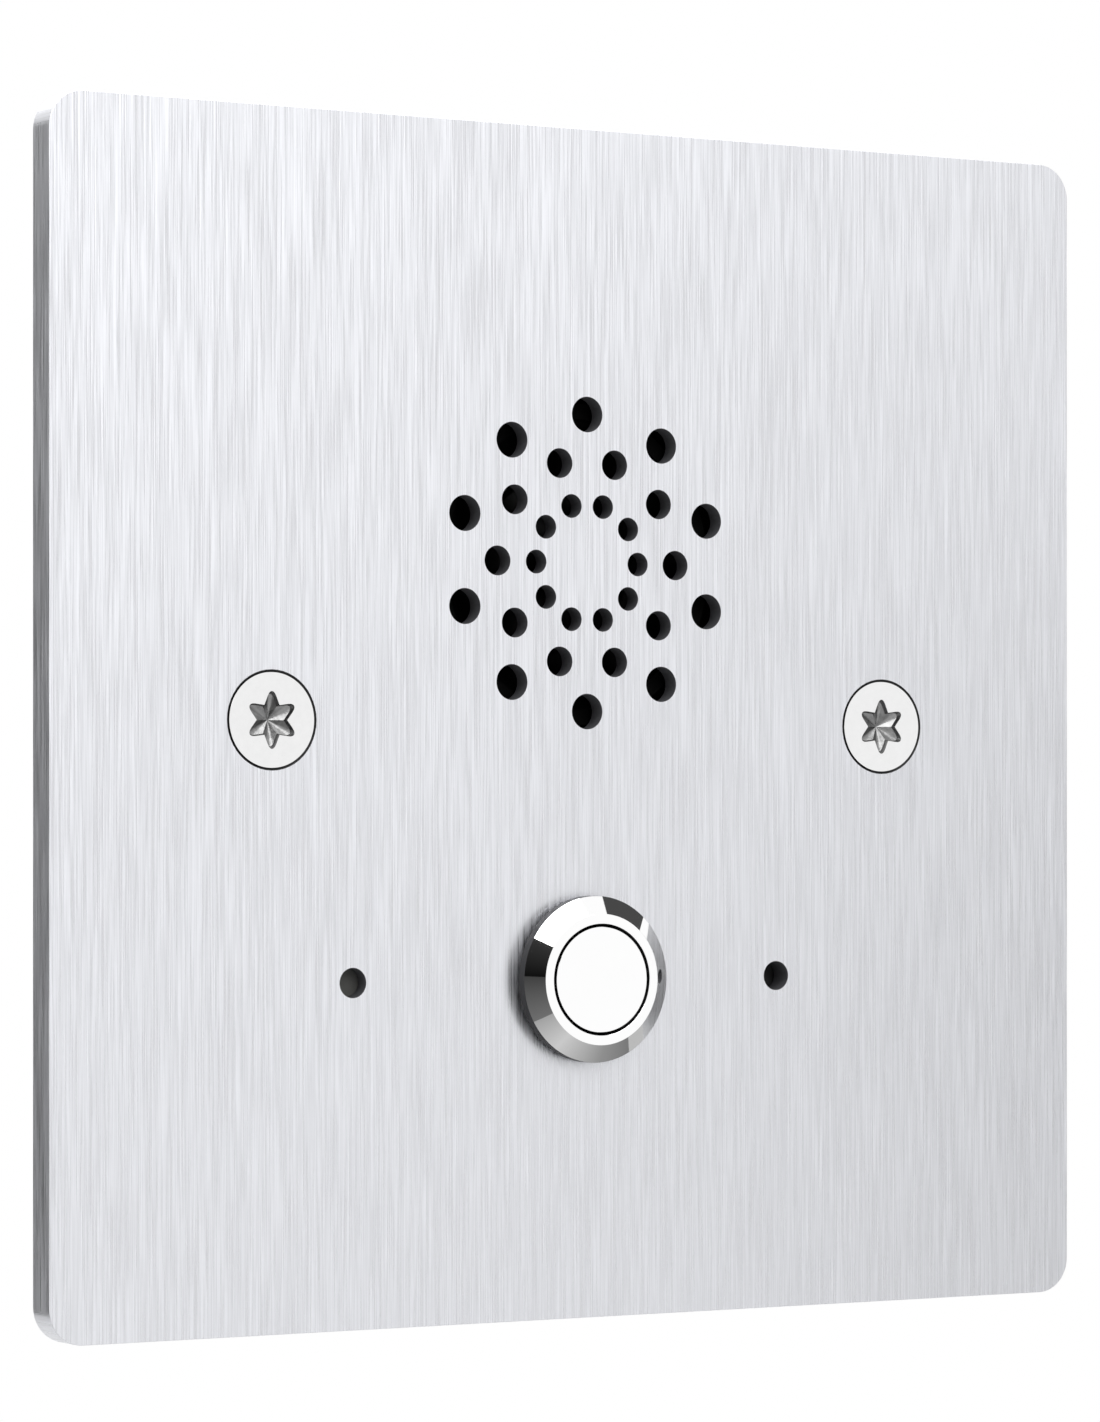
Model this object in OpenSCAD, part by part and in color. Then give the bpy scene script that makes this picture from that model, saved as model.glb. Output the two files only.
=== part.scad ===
// Emergency intercom: a flush wall panel with a speaker, one call button, an indicator and a
// microphone, on a housing that goes into a single wall box. All sizes are in mm.
// X is to the right, Y goes into the wall and Z is up. The origin lies in the wall plane,
// behind the middle of the front plate.

/* [Front plate] */
// Width and height of the square plate
plate_size = 100; // [98:1:112]
// Thickness of the plate
plate_t = 3; // [2.8:0.1:3.6]
// Radius of the plate corners
plate_corner_r = 3; // [1:0.5:8]
// Thickness of the four sealing strips between plate and wall
seal_t = 1; // [0.6:0.1:1.6]
// Width of a sealing strip
seal_w = 6; // [4:0.5:6]

/* [Wall screws] */
// Distance between the two screws, as on a single wall box
screw_span = 60; // [60:0.2:62]
// Thread diameter
screw_d = 4; // [3.5:0.1:4.2]
// Head diameter
screw_head_d = 7.8; // [7.4:0.1:8]
// Length, measured from the plate face
screw_len = 25; // [18:1:35]
// Recess size over two lobes
recess_d = 4.7; // [4:0.1:5]

/* [Speaker holes] */
// Room between the speaker and the top wall of the housing
speaker_top = 1; // [0.6:0.1:2]
// Holes in each of the three rings
ring_holes = 10; // [8:1:10]
// Inner ring diameter
ring_1_d = 10; // [9:0.1:10.5]
// Hole diameter in the inner ring
ring_1_hole_d = 2; // [1.2:0.1:2.2]
// Middle ring diameter
ring_2_d = 17.5; // [17:0.1:18]
// Hole diameter in the middle ring
ring_2_hole_d = 2.5; // [1.5:0.1:2.6]
// Outer ring diameter
ring_3_d = 25; // [24.5:0.1:25.4]
// Hole diameter in the outer ring
ring_3_hole_d = 3; // [2:0.1:3.2]
// Plate thickness left in front of the speaker
web_t = 1.7; // [1.4:0.1:1.8]

/* [Speaker] */
// Diameter of the basket flange
speaker_d = 36; // [35:0.2:36.6]
// Height of the basket behind its flange
basket_h = 6; // [5.5:0.1:6.5]
// Height of the motor cup
yoke_h = 5; // [4.6:0.1:5.4]
// Diameter of the motor cup
yoke_d = 17; // [16.6:0.1:17.6]
// Cone movement to each side of rest
cone_travel = 0.4; // [0.1:0.05:0.5]

/* [Push button] */
// Height of the button axis above the bottom wall of the housing
button_rise = 11; // [10:0.1:12]
// Diameter of the button head
head_d = 14; // [13.6:0.1:15]
// Height of the straight rim of the head
head_rim_h = 0.9; // [0.5:0.1:1.4]
// Height of the bevel of the head
head_bevel_h = 1; // [0.6:0.1:1.5]
// Diameter of the flat ring on the head
head_flat_d = 11; // [10.4:0.1:11.6]
// Cap diameter
cap_d = 8.84; // [8.2:0.02:9]
// Gap around the cap
cap_gap = 0.22; // [0.1:0.02:0.3]
// How far the cap goes in
press_travel = 1.5; // [0.8:0.1:1.8]
// Barrel diameter, the panel cut-out size of the switch
barrel_d = 12; // [11.8:0.1:12.2]
// Barrel length behind the plate face
barrel_len = 15; // [14.5:0.1:15.4]
// Width of the nut over two flats
nut_af = 14; // [13.6:0.1:14.6]
// Turns of the return spring
spring_turns = 4.5; // [3:0.5:5]

/* [Indicator and microphone] */
// Height of the two small holes above the bottom wall of the housing
side_hole_rise = 11; // [10:0.1:12]
// Diameter of the two small holes
side_hole_d = 2.5; // [2.2:0.1:2.8]
// Distance of the indicator from the left housing wall
indicator_inset = 2; // [1.8:0.1:6]
// Depth of the light pipe face below the plate face
indicator_depth = 1.3; // [0.2:0.1:2]
// Distance of the microphone from the right housing wall
microphone_inset = 5.5; // [4.2:0.1:8]

/* [Housing and board] */
// Housing width, between the lugs of the wall box
cover_w = 52; // [48:0.5:56]
// Housing height
cover_h = 68; // [62:0.5:74]
// Room between the speaker clamps and the side walls of the housing
side_room = 1.1; // [0.6:0.1:2]
// Housing depth behind the wall plane
cover_depth = 29; // [28:0.5:36]
// Side wall thickness
cover_wall = 1.5; // [1.2:0.1:1.6]
// Length of the board standoffs
standoff_len = 12; // [11.8:0.1:13]
// Board thickness
board_t = 1.6; // [1.2:0.2:2]
// Terminal pitch
terminal_pitch = 3.5; // [3:0.1:3.8]

/* [Hidden] */

$fn = 64;

// Clearances: running fit, fixed fit, loose gap, and the overlap of a cut past a face
run_gap = 0.08;
fit_gap = 0.02;
loose_gap = 0.3;
over = 0.5;

// Space inside the housing
cover_in_w = cover_w - 2 * cover_wall;
cover_in_h = cover_h - 2 * cover_wall;

// Depths of the plate
plate_back = -seal_t;
plate_front = plate_back - plate_t;
pocket_floor = plate_front + web_t;

// Wall screws
screw_r = screw_d / 2;
screw_head_r = screw_head_d / 2;
screw_land = 0.15;
sink_r = screw_head_r + screw_land + fit_gap;
screw_hole_r = screw_r + 0.2;
screw_neck_r = screw_r - 0.25;
recess_valley = 0.6;
recess_tip_r = 0.25;
recess_depth = 1.7;

// Speaker, from the flange inwards
speaker_r = speaker_d / 2;
speaker_z = cover_in_h / 2 - speaker_top - speaker_r;
flange_w = 2.4;
flange_t = 1;
basket_wall = 1;
gasket_t = 0.7;
lip_t = 0.2;
gasket_back = pocket_floor + gasket_t;
lip_back = gasket_back + lip_t;
flange_back = lip_back + flange_t;
flange_in_r = speaker_r - flange_w;
roll_r = 1;
roll_mid_r = flange_in_r - roll_r - 0.1;
cone_lip_r = roll_mid_r - roll_r;
cone_r = cone_lip_r - 1.2;
cone_t = 0.35;
cone_front = lip_back + fit_gap;
neck_r = 6.75;
neck_y = cone_front + 3.4;
dome_lap_w = 0.6;
yoke_r = yoke_d / 2;
yoke_wall = 0.8;
yoke_floor = 1.2;
basket_back = flange_back + basket_h;
yoke_front = basket_back - flange_t - 0.1;
yoke_back = yoke_front + yoke_h;
pole_t = 1.2;
pole_r = 6.2;
magnet_r = 6;
coil_in_r = pole_r + 0.35;
coil_wire_t = 0.45;
coil_wire_h = 2.4;
coil_end_w = 0.2;
coil_end = yoke_back - yoke_floor - cone_travel - 0.9;
tab_angle = 240;
tab_reach = 4;
tab_t = 1;
tab_root = 1.2;
window_w = 9;

// Clamps over the flange, the side ones turned down until they clear the housing
clamp_t = 0.8;
clamp_w = 6;
clamp_thread_r = 1.25;
clamp_grip = 1.1;
clamp_foot = 1.4;
clamp_head_r = 2.2;
clamp_head_h = 1.4;
clamp_head_bevel = 0.5;
clamp_cross_w = 2.6;
clamp_cross_t = 0.5;
clamp_in_r = speaker_r - clamp_grip;
clamp_screw_r = speaker_r + clamp_head_r + 0.4;
clamp_out_r = clamp_screw_r + clamp_thread_r + clamp_foot + 0.15;
clamp_corner_r = norm([clamp_out_r, clamp_w / 2]);
clamp_turn = atan(clamp_w / 2 / clamp_out_r) + acos(min(1, (cover_in_w / 2 - side_room) / clamp_corner_r));
clamp_low = 300;
clamp_angles = [-clamp_turn, 180 + clamp_turn, clamp_low];
clamp_thread_len = 1.9;

// Push button, from the head inwards
button_z = button_rise - cover_in_h / 2;
button_seal_t = 0.5;
barrel_r = barrel_d / 2;
head_back = plate_front - button_seal_t;
rim_front = head_back - head_rim_h;
head_front = rim_front - head_bevel_h;
cap_r = cap_d / 2;
cap_bore_r = cap_r + cap_gap;
cap_t = 2;
cap_edge = 0.12;
cap_back = head_front + cap_t;
spigot_r = 1.5;
spigot_len = 1.2;
stem_r = 3;
guide_len = 2.6;
end_play = 0.1;
guide_front = cap_back + press_travel + end_play;
guide_back = guide_front + guide_len;
groove_r = 2.3;
groove_w = 0.9;
groove_front = guide_front + end_play;
collar_r = 4.2;
collar_t = 1;
collar_front = guide_back + end_play / 2;
collar_back = collar_front + collar_t;
rear_bore_r = 4.55;
pin_r = 1.6;
rivet_r = 0.7;
rivet_h = 0.3;
bridge_r = 2.4;
bridge_t = 0.4;
bridge_reach = 3;
bridge_front = collar_back + bridge_reach;
bridge_back = bridge_front + bridge_t;
contact_front = bridge_back + press_travel + fit_gap;
contact_h = 0.6;
contact_r = 0.7;
contact_x = 1.6;
block_front = contact_front + contact_h;
block_flange_r = 5.5;
block_flange_t = 1.5;
barrel_back = plate_front + barrel_len;
block_back = barrel_back + block_flange_t;
switch_pin_r = 0.5;
switch_pin_len = 4;
switch_pin_back = block_back + switch_pin_len;
spring_r = 3.3;
spring_wire_r = 0.25;
washer_t = 0.6;
washer_teeth = 10;
tooth_gap = 1.2;
nut_bevel = 0.8;
nut_front = plate_back + washer_t;
nut_t = 2.5;

// Board and housing
board_front = plate_back + standoff_len;
board_back = board_front + board_t;
groove_room = 1.2;
board_w = cover_in_w - 1;
board_h = cover_in_h - 1;
post_x = board_w / 2 - 3.5;
post_z = board_h / 2 - 3;
standoff_r = 2.5;
clinch_r = 2.1;
clinch_len = 1.4;
board_screw_r = 1.5;
notch_r = barrel_r + 1.75;
cover_floor = 2;
cover_corner_r = 4;
cover_chamfer = 1.2;
pillar = 3.2;
pillar_root = 0.2;
cross_w = 3.4;
cross_t = 0.7;
cross_depth = 1.1;
cover_head_r = 2.75;
cover_head_h = 2;
cover_head_bevel = 0.5;
cover_head_seat = cover_depth - cover_head_h - 0.2;
cover_screw_grip = 6;
cover_screw_end = board_front - cover_screw_grip;

// Indicator and microphone
side_hole_z = side_hole_rise - cover_in_h / 2;
indicator_x = indicator_inset - cover_in_w / 2;
microphone_x = cover_in_w / 2 - microphone_inset;
side_hole_r = side_hole_d / 2;
pipe_r = side_hole_r - 0.05;
pipe_flange_r = 1.6;
pipe_flange_t = 0.8;
led_w = 1.8;
led_len = 2.8;
led_h = 1.2;
boot_r = 3.4;
mic_r = 2;
mic_len = 2.2;
mic_web = 2.2;
boot_front = plate_front + mic_web;
mic_front = boot_front + 0.6;
mic_lead_r = 0.25;
mic_lead_x = 0.7;
lead_stub = 0.8;

// Internal leads
lead_r = 0.55;
lead_gap = 2.5;
lead_tip = 0.06;
header_w = 6;
header_d = 3.4;
header_h = 2.4;
header_room = 2.5;
tab_mid = (speaker_r + tab_reach / 2) * [cos(tab_angle), sin(tab_angle)] + [0, speaker_z];
lead_drop = 5;
lead_bow = 4;
speaker_header = tab_mid - [0, lead_drop];
switch_header = [0, button_z + notch_r + header_room + header_d / 2];

// Terminals, above the switch header
terminals = 6;
terminal_room = 2.95;
plug_w = terminals * terminal_pitch + 1;
plug_h = 8.4;
plug_front = board_back + 1.6;
plug_back = cover_depth + 2;
plug_gap = 0.1;
shroud_wall = 0.6;
shroud_w = plug_w + 2 * (shroud_wall + plug_gap);
shroud_d = plug_h + 2 * (shroud_wall + plug_gap);
shroud_h = 9;
terminal_z = switch_header.y + header_d / 2 + terminal_room + shroud_d / 2;
header_pin_r = 0.5;
header_pin_len = 6;
wire_entry_depth = 7;
wire_entry_h = 2.8;
wire_entry_z = -1;
terminal_screw_y = plug_back - 5;
terminal_screw_r = 1.25;
terminal_screw_h = 2;
terminal_screw_z = plug_h / 2 - 3;

// Network socket, above the terminals
socket_room = 5.4;
socket_w = 16;
socket_h = 13.4;
socket_z = terminal_z + shroud_d / 2 + socket_room + socket_h / 2;
jack_w = 11.8;
jack_h = 7;
jack_low = -4.6;
jack_depth = 12.5;
key_w = 6.2;
key_h = 2.2;
jack_contacts = 8;
jack_pitch = 1.02;
jack_contact_w = 0.4;
jack_contact_low = 0.3;
jack_contact_high = 1.6;
jack_contact_back = 1.5;

// Parts on the board
chip_w = 11;
chip_t = 1.4;
transformer_w = 11;
transformer_d = 9;
transformer_h = 6;
coil_w = 8;
capacitor_r = 3.2;
capacitor_h = 9;
capacitor_step = 8;
part_inset = 3.2;
low_parts_z = terminal_z - plug_h / 2 - part_inset;

module rounded(w, h, r) {
    square([w - 2 * r, h], center = true);
    square([w, h - 2 * r], center = true);
    for (x = [-1, 1], z = [-1, 1])
        translate([x * (w / 2 - r), z * (h / 2 - r)]) circle(r);
}

// A sketch in X and Z, raised between two depths
module slab(front, back)
    translate([0, back, 0]) rotate([90, 0, 0]) linear_extrude(back - front) children();

// A round bar along Y
module bar(x, z, r, front, back)
    translate([x, front, z]) rotate([-90, 0, 0]) cylinder(r = r, h = back - front);

// A profile of [radius, depth] points, turned about an axis along Y
module turned(x, z, profile)
    translate([x, 0, z]) rotate([-90, 0, 0]) rotate_extrude() polygon(profile);

module ring(x, z, r_in, r_out, front, back)
    turned(x, z, [[r_in, front], [r_out, front], [r_out, back], [r_in, back]]);

module box(x, z, w, h, front, back)
    translate([x - w / 2, front, z - h / 2]) cube([w, back - front, h]);

// Two crossed slots for a screwdriver
module cross_cut(w, t, front, back) {
    box(0, 0, w, t, front, back);
    box(0, 0, t, w, front, back);
}

module at_posts() for (x = [-1, 1], z = [-1, 1]) translate([x * post_x, 0, z * post_z]) children();

module at_screws() for (x = [-1, 1]) translate([x * screw_span / 2, 0, 0]) children();

module around_speaker(angles)
    for (a = angles) translate([0, 0, speaker_z]) rotate([0, -a, 0]) children();

module at_terminals()
    for (i = [0 : terminals - 1])
        translate([(i - (terminals - 1) / 2) * terminal_pitch, 0, terminal_z]) children();

function unit(v) = v / norm(v);

// Points of a cubic curve from a to d, drawn towards b and c
function curve(a, b, c, d, steps) = [
    for (i = [0 : steps]) let (t = i / steps, s = 1 - t)
        s * s * s * a + 3 * s * s * t * b + 3 * s * t * t * c + t * t * t * d
];

function heading(path, i) =
    unit(path[min(i + 1, len(path) - 1)] - path[max(i - 1, 0)]);

// A round wire along a path whose heading never lines up with the side vector
module wire(path, r, side, sides = 8) {
    n = len(path);
    points = [
        for (i = [0 : n - 1])
            let (t = heading(path, i), u = unit(cross(side, t)), v = cross(t, u))
            for (k = [0 : sides - 1])
                path[i] + r * (cos(k * 360 / sides) * u + sin(k * 360 / sides) * v)
    ];
    walls = [
        for (i = [0 : n - 2], k = [0 : sides - 1])
            let (m = (k + 1) % sides)
            [i * sides + k, i * sides + m, (i + 1) * sides + m, (i + 1) * sides + k]
    ];
    start = [for (k = [sides - 1 : -1 : 0]) k];
    end = [for (k = [0 : sides - 1]) (n - 1) * sides + k];
    polyhedron(points, [for (f = concat([start], walls, [end])) [for (k = [len(f) - 1 : -1 : 0]) f[k]]]);
}

// Six pointed lobes with rounded tips, one of them straight up
module star(r) {
    tip = r - recess_tip_r;
    polygon([
        for (i = [0 : 5])
            let (a = 30 + 60 * i)
            each concat(
                [for (s = [-64 : 32 : 64])
                    tip * [cos(a), sin(a)] + recess_tip_r * [cos(a + s), sin(a + s)]],
                [recess_valley * r * [cos(a + 30), sin(a + 30)]]
            )
    ]);
}

module hole_ring(d, hole_d, turn)
    for (i = [0 : ring_holes - 1])
        let (a = turn + i * 360 / ring_holes)
        bar(d / 2 * cos(a), speaker_z + d / 2 * sin(a), hole_d / 2, plate_front - over, plate_back + over);

module front_plate() color("silver") difference() {
    slab(plate_front, plate_back) rounded(plate_size, plate_size, plate_corner_r);
    hole_ring(ring_1_d, ring_1_hole_d, 0);
    hole_ring(ring_2_d, ring_2_hole_d, 0);
    hole_ring(ring_3_d, ring_3_hole_d, 180 / ring_holes);
    bar(0, speaker_z, speaker_r + loose_gap, pocket_floor, plate_back + over);
    bar(0, button_z, barrel_r + 0.1, plate_front - over, plate_back + over);
    at_screws() {
        bar(0, 0, screw_hole_r, plate_front - over, plate_back + over);
        translate([0, plate_front, 0]) rotate([-90, 0, 0])
            cylinder(r1 = sink_r, r2 = screw_hole_r, h = sink_r - screw_hole_r);
        bar(0, 0, sink_r, plate_front - over, plate_front);
    }
    for (x = [indicator_x, microphone_x])
        bar(x, side_hole_z, side_hole_r, plate_front - over, plate_back + over);
    bar(microphone_x, side_hole_z, boot_r + 0.1, boot_front, plate_back + over);
    at_posts() bar(0, 0, clinch_r + fit_gap, plate_back - clinch_len, plate_back + over);
    around_speaker(clamp_angles)
        bar(clamp_screw_r, 0, clamp_thread_r + fit_gap,
            plate_back - clamp_thread_len - 0.1, plate_back + over);
}

module wall_seal() color("dimgray") {
    mid = plate_size / 2 - 2 - seal_w / 2;
    for (s = [-1, 1]) {
        box(0, s * mid, 2 * mid + seal_w, seal_w, plate_back, 0);
        box(s * mid, 0, seal_w, 2 * mid - seal_w - loose_gap, plate_back, 0);
    }
}

module wall_screws() color("lightgray") at_screws() difference() {
    cone_end = plate_front + screw_land + screw_head_r - screw_neck_r;
    thread = plate_back + 0.1;
    tip = plate_front + screw_len;
    tip_bevel = 0.3 * screw_r;
    turned(0, 0, [
        [0, plate_front], [screw_head_r, plate_front], [screw_head_r, plate_front + screw_land],
        [screw_neck_r, cone_end], [screw_neck_r, thread], [screw_r, thread], [screw_r, tip - tip_bevel],
        [screw_r - tip_bevel, tip], [0, tip]
    ]);
    translate([0, plate_front - 0.01, 0]) rotate([-90, 0, 0])
        linear_extrude(recess_depth, scale = 0.35) star(recess_d / 2);
}

module standoffs() color("silver") at_posts() difference() {
    turned(0, 0, [
        [0, plate_back - clinch_len], [clinch_r, plate_back - clinch_len], [clinch_r, plate_back],
        [standoff_r, plate_back], [standoff_r, board_front], [0, board_front]
    ]);
    bar(0, 0, board_screw_r + fit_gap, cover_screw_end - 1, board_front + over);
}

module speaker_gasket() color("dimgray")
    ring(0, speaker_z, flange_in_r + 0.2, speaker_r, pocket_floor, gasket_back);

module speaker_basket() color("darkslategray") {
    wall_h = basket_h - flange_t;
    floor_r = yoke_r + 1.9;
    difference() {
        union() {
            turned(0, speaker_z, [
                [flange_in_r, lip_back], [speaker_r, lip_back], [speaker_r, flange_back],
                [flange_in_r + basket_wall, flange_back], [floor_r, flange_back + wall_h],
                [floor_r, basket_back], [yoke_r + fit_gap, basket_back],
                [yoke_r + fit_gap, flange_back + wall_h], [floor_r - basket_wall, flange_back + wall_h],
                [flange_in_r, flange_back]
            ]);
            around_speaker([tab_angle])
                box(speaker_r + tab_reach / 2 - tab_root / 2, 0, tab_reach + tab_root, header_w,
                    flange_back - tab_t / 2, flange_back + tab_t / 2);
        }
        around_speaker([0, 90, 180, 270])
            box(flange_in_r - flange_w, 0, 2.5 * flange_w, window_w,
                flange_back + 1.2 * basket_wall, flange_back + wall_h - 0.8 * basket_wall);
    }
}

module speaker_surround() color("black") {
    turned(0, speaker_z, concat(
        [[speaker_r - 0.4, gasket_back], [speaker_r - 0.4, lip_back]],
        [for (a = [0 : 15 : 180]) [roll_mid_r + roll_r * cos(a), lip_back + roll_r * sin(a)]],
        [[cone_r, lip_back], [cone_r, gasket_back]],
        [for (a = [180 : -15 : 0])
            [roll_mid_r + (roll_r - lip_t) * cos(a), gasket_back + (roll_r - lip_t) * sin(a)]]
    ));
}

module speaker_cone() color("black")
    turned(0, speaker_z, [
        [cone_lip_r - 0.1, cone_front], [cone_r, cone_front], [neck_r, neck_y],
        [neck_r, neck_y + 1.3 * cone_t], [neck_r + 0.3, neck_y + 1.3 * cone_t],
        [cone_r + cone_t, cone_front + cone_t], [cone_lip_r - 0.1, cone_front + cone_t]
    ]);

// A shallow dome glued to the cone over the voice coil
module dust_cap() color("dimgray") {
    rim = neck_r + dome_lap_w;
    rise = 1.5;
    skin = 0.25;
    ball = (rim * rim + rise * rise) / (2 * rise);
    seat = neck_y - dome_lap_w * (neck_y - cone_front) / (cone_r - neck_r) - skin;
    mid = seat - rise + ball;
    steps = 10;
    dome = asin(rim / ball);
    turned(0, speaker_z, concat(
        [for (i = [0 : steps]) let (a = dome * i / steps) [ball * sin(a), mid - ball * cos(a)]],
        [for (i = [steps : -1 : 0])
            let (a = dome * i / steps) [(ball - skin) * sin(a), mid - (ball - skin) * cos(a)]]
    ));
}

module voice_coil() color("peru") {
    wire_end = coil_end - coil_end_w;
    wire_start = wire_end - coil_wire_h;
    turned(0, speaker_z, [
        [coil_in_r, neck_y], [neck_r - fit_gap, neck_y], [neck_r - fit_gap, wire_start],
        [coil_in_r + coil_wire_t, wire_start], [coil_in_r + coil_wire_t, wire_end],
        [neck_r - fit_gap, wire_end], [neck_r - fit_gap, coil_end], [coil_in_r, coil_end]
    ]);
}

module speaker_yoke() color("silver")
    turned(0, speaker_z, [
        [yoke_r - yoke_wall, yoke_front], [yoke_r, yoke_front], [yoke_r, yoke_back], [0, yoke_back],
        [0, yoke_back - yoke_floor], [yoke_r - yoke_wall, yoke_back - yoke_floor]
    ]);

module speaker_magnet() color("slategray")
    bar(0, speaker_z, magnet_r, yoke_front + pole_t, yoke_back - yoke_floor);

module pole_plate() color("silver")
    bar(0, speaker_z, pole_r, yoke_front, yoke_front + pole_t);

module speaker_clamps() color("silver") around_speaker(clamp_angles) difference() {
    union() {
        box((clamp_in_r + clamp_out_r) / 2, 0, clamp_out_r - clamp_in_r, clamp_w,
            flange_back, flange_back + clamp_t);
        box(clamp_out_r - clamp_foot / 2, 0, clamp_foot, clamp_w, plate_back, flange_back + clamp_t / 2);
    }
    bar(clamp_screw_r, 0, clamp_thread_r + 0.2, plate_back - over, flange_back + clamp_t + over);
}

module clamp_screws() color("lightgray") around_speaker(clamp_angles)
    translate([clamp_screw_r, 0, 0]) difference() {
        head = flange_back + clamp_t;
        turned(0, 0, [
            [0, plate_back - clamp_thread_len], [clamp_thread_r, plate_back - clamp_thread_len],
            [clamp_thread_r, head], [clamp_head_r, head],
            [clamp_head_r, head + clamp_head_h - clamp_head_bevel],
            [clamp_head_r - clamp_head_bevel, head + clamp_head_h], [0, head + clamp_head_h]
        ]);
        cross_cut(clamp_cross_w, clamp_cross_t, head + clamp_head_h / 2, head + clamp_head_h + over);
    }

module speaker_leads() color("firebrick")
    for (s = [-1, 1]) {
        a = [tab_mid.x + s * lead_gap / 2, flange_back + tab_t / 2 + lead_tip, tab_mid.y];
        d = [speaker_header.x + s * lead_gap / 2, board_front - header_h - lead_tip, speaker_header.y];
        wire(curve(a, a + [0, lead_bow, 0], d - [0, lead_bow, 0], d, 12), lead_r, [1, 0, 0]);
    }

module button_body() color("gainsboro")
    turned(0, button_z, [
        [cap_bore_r, head_front], [head_flat_d / 2, head_front], [head_d / 2, rim_front],
        [head_d / 2, head_back], [barrel_r, head_back], [barrel_r, barrel_back],
        [rear_bore_r, barrel_back], [rear_bore_r, guide_back], [stem_r + run_gap, guide_back],
        [stem_r + run_gap, guide_front], [cap_bore_r, guide_front]
    ]);

module button_seal() color("black")
    ring(0, button_z, barrel_r + fit_gap, barrel_r + 0.6, head_back, plate_front);

module lock_washer() color("silver") difference() {
    ring(0, button_z, barrel_r + 0.1, nut_af / 2 + 0.8, plate_back, nut_front);
    for (i = [1 : washer_teeth])
        translate([0, 0, button_z]) rotate([0, i * 360 / washer_teeth, 0])
            box(barrel_r + 0.3, 0, tooth_gap, tooth_gap, plate_back - over, nut_front + over);
}

module button_nut() color("silver") difference() {
    corner_r = nut_af / 2 / cos(30);
    intersection() {
        translate([0, 0, button_z]) slab(nut_front, nut_front + nut_t) circle(corner_r, $fn = 6);
        turned(0, button_z, [
            [0, nut_front], [corner_r + over, nut_front], [corner_r + over, nut_front + nut_t - nut_bevel],
            [corner_r - nut_bevel, nut_front + nut_t], [0, nut_front + nut_t]
        ]);
    }
    bar(0, button_z, barrel_r + fit_gap, nut_front - over, nut_front + nut_t + over);
}

module button_cap() color("gainsboro") difference() {
    turned(0, button_z, [
        [0, head_front], [cap_r - cap_edge, head_front], [cap_r, head_front + cap_edge],
        [cap_r, cap_back], [0, cap_back]
    ]);
    bar(0, button_z, spigot_r + fit_gap, cap_back - spigot_len - fit_gap, cap_back + over);
}

module button_plunger() color("dimgray")
    turned(0, button_z, [
        [0, cap_back - spigot_len], [spigot_r, cap_back - spigot_len], [spigot_r, cap_back],
        [stem_r, cap_back], [stem_r, groove_front], [groove_r, groove_front],
        [groove_r, groove_front + groove_w], [stem_r, groove_front + groove_w],
        [stem_r, collar_front], [collar_r, collar_front], [collar_r, collar_back],
        [pin_r, collar_back], [pin_r, bridge_front], [rivet_r, bridge_front],
        [rivet_r, bridge_back + rivet_h], [0, bridge_back + rivet_h]
    ]);

module plunger_seal() color("black") {
    cord_r = (stem_r + run_gap / 2 - groove_r - fit_gap) / 2;
    translate([0, groove_front + groove_w / 2, button_z]) rotate([-90, 0, 0])
        rotate_extrude() translate([groove_r + fit_gap + cord_r, 0]) circle(cord_r);
}

// The return spring stands between the plunger collar and the contact block
module button_spring() color("silver") {
    steps = 20 * spring_turns;
    low = collar_back + spring_wire_r + end_play / 2;
    rise = block_front - spring_wire_r - end_play / 2 - low;
    path = [
        for (i = [0 : steps])
            let (a = 360 * spring_turns * i / steps)
            [spring_r * cos(a), low + rise * i / steps, button_z + spring_r * sin(a)]
    ];
    wire(path, spring_wire_r, [0, 1, 0]);
}

module contact_bridge() color("gold")
    ring(0, button_z, rivet_r + fit_gap, bridge_r, bridge_front, bridge_back);

module contact_block() color("dimgray") difference() {
    turned(0, button_z, [
        [0, block_front], [rear_bore_r - fit_gap, block_front], [rear_bore_r - fit_gap, barrel_back],
        [block_flange_r, barrel_back], [block_flange_r, block_back], [0, block_back]
    ]);
    for (s = [-1, 1])
        bar(s * contact_x, button_z, switch_pin_r + fit_gap, block_front - over, block_back + over);
}

module switch_pins() color("gold")
    for (s = [-1, 1])
        turned(s * contact_x, button_z, [
            [0, contact_front], [contact_r, contact_front], [contact_r, block_front],
            [switch_pin_r, block_front], [switch_pin_r, switch_pin_back], [0, switch_pin_back]
        ]);

module switch_leads() color("firebrick")
    for (s = [-1, 1]) {
        a = [s * contact_x, switch_pin_back - 1, button_z + switch_pin_r + lead_tip];
        d = [s * lead_gap / 2, board_back + header_h / 2, switch_header.y - header_d / 2 - lead_tip];
        wire(curve(a, a + [0, 0, lead_bow], d - [0, 0, lead_bow], d, 12), lead_r, [1, 0, 0]);
    }

module light_pipe() color("gray")
    turned(indicator_x, side_hole_z, [
        [0, plate_front + indicator_depth], [pipe_r, plate_front + indicator_depth],
        [pipe_r, plate_back], [pipe_flange_r, plate_back], [pipe_flange_r, plate_back + pipe_flange_t],
        [pipe_r, plate_back + pipe_flange_t], [pipe_r, board_front - led_h], [0, board_front - led_h]
    ]);

module status_led() color("white")
    box(indicator_x, side_hole_z, led_w, led_len, board_front - led_h, board_front);

module microphone() color("slategray")
    bar(microphone_x, side_hole_z, mic_r, mic_front, mic_front + mic_len);

module microphone_boot() color("black")
    ring(microphone_x, side_hole_z, mic_r + fit_gap, boot_r, boot_front, board_front);

module microphone_leads() color("gold")
    for (s = [-1, 1])
        bar(microphone_x + s * mic_lead_x, side_hole_z, mic_lead_r,
            mic_front + mic_len, board_back + lead_stub);

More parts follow.
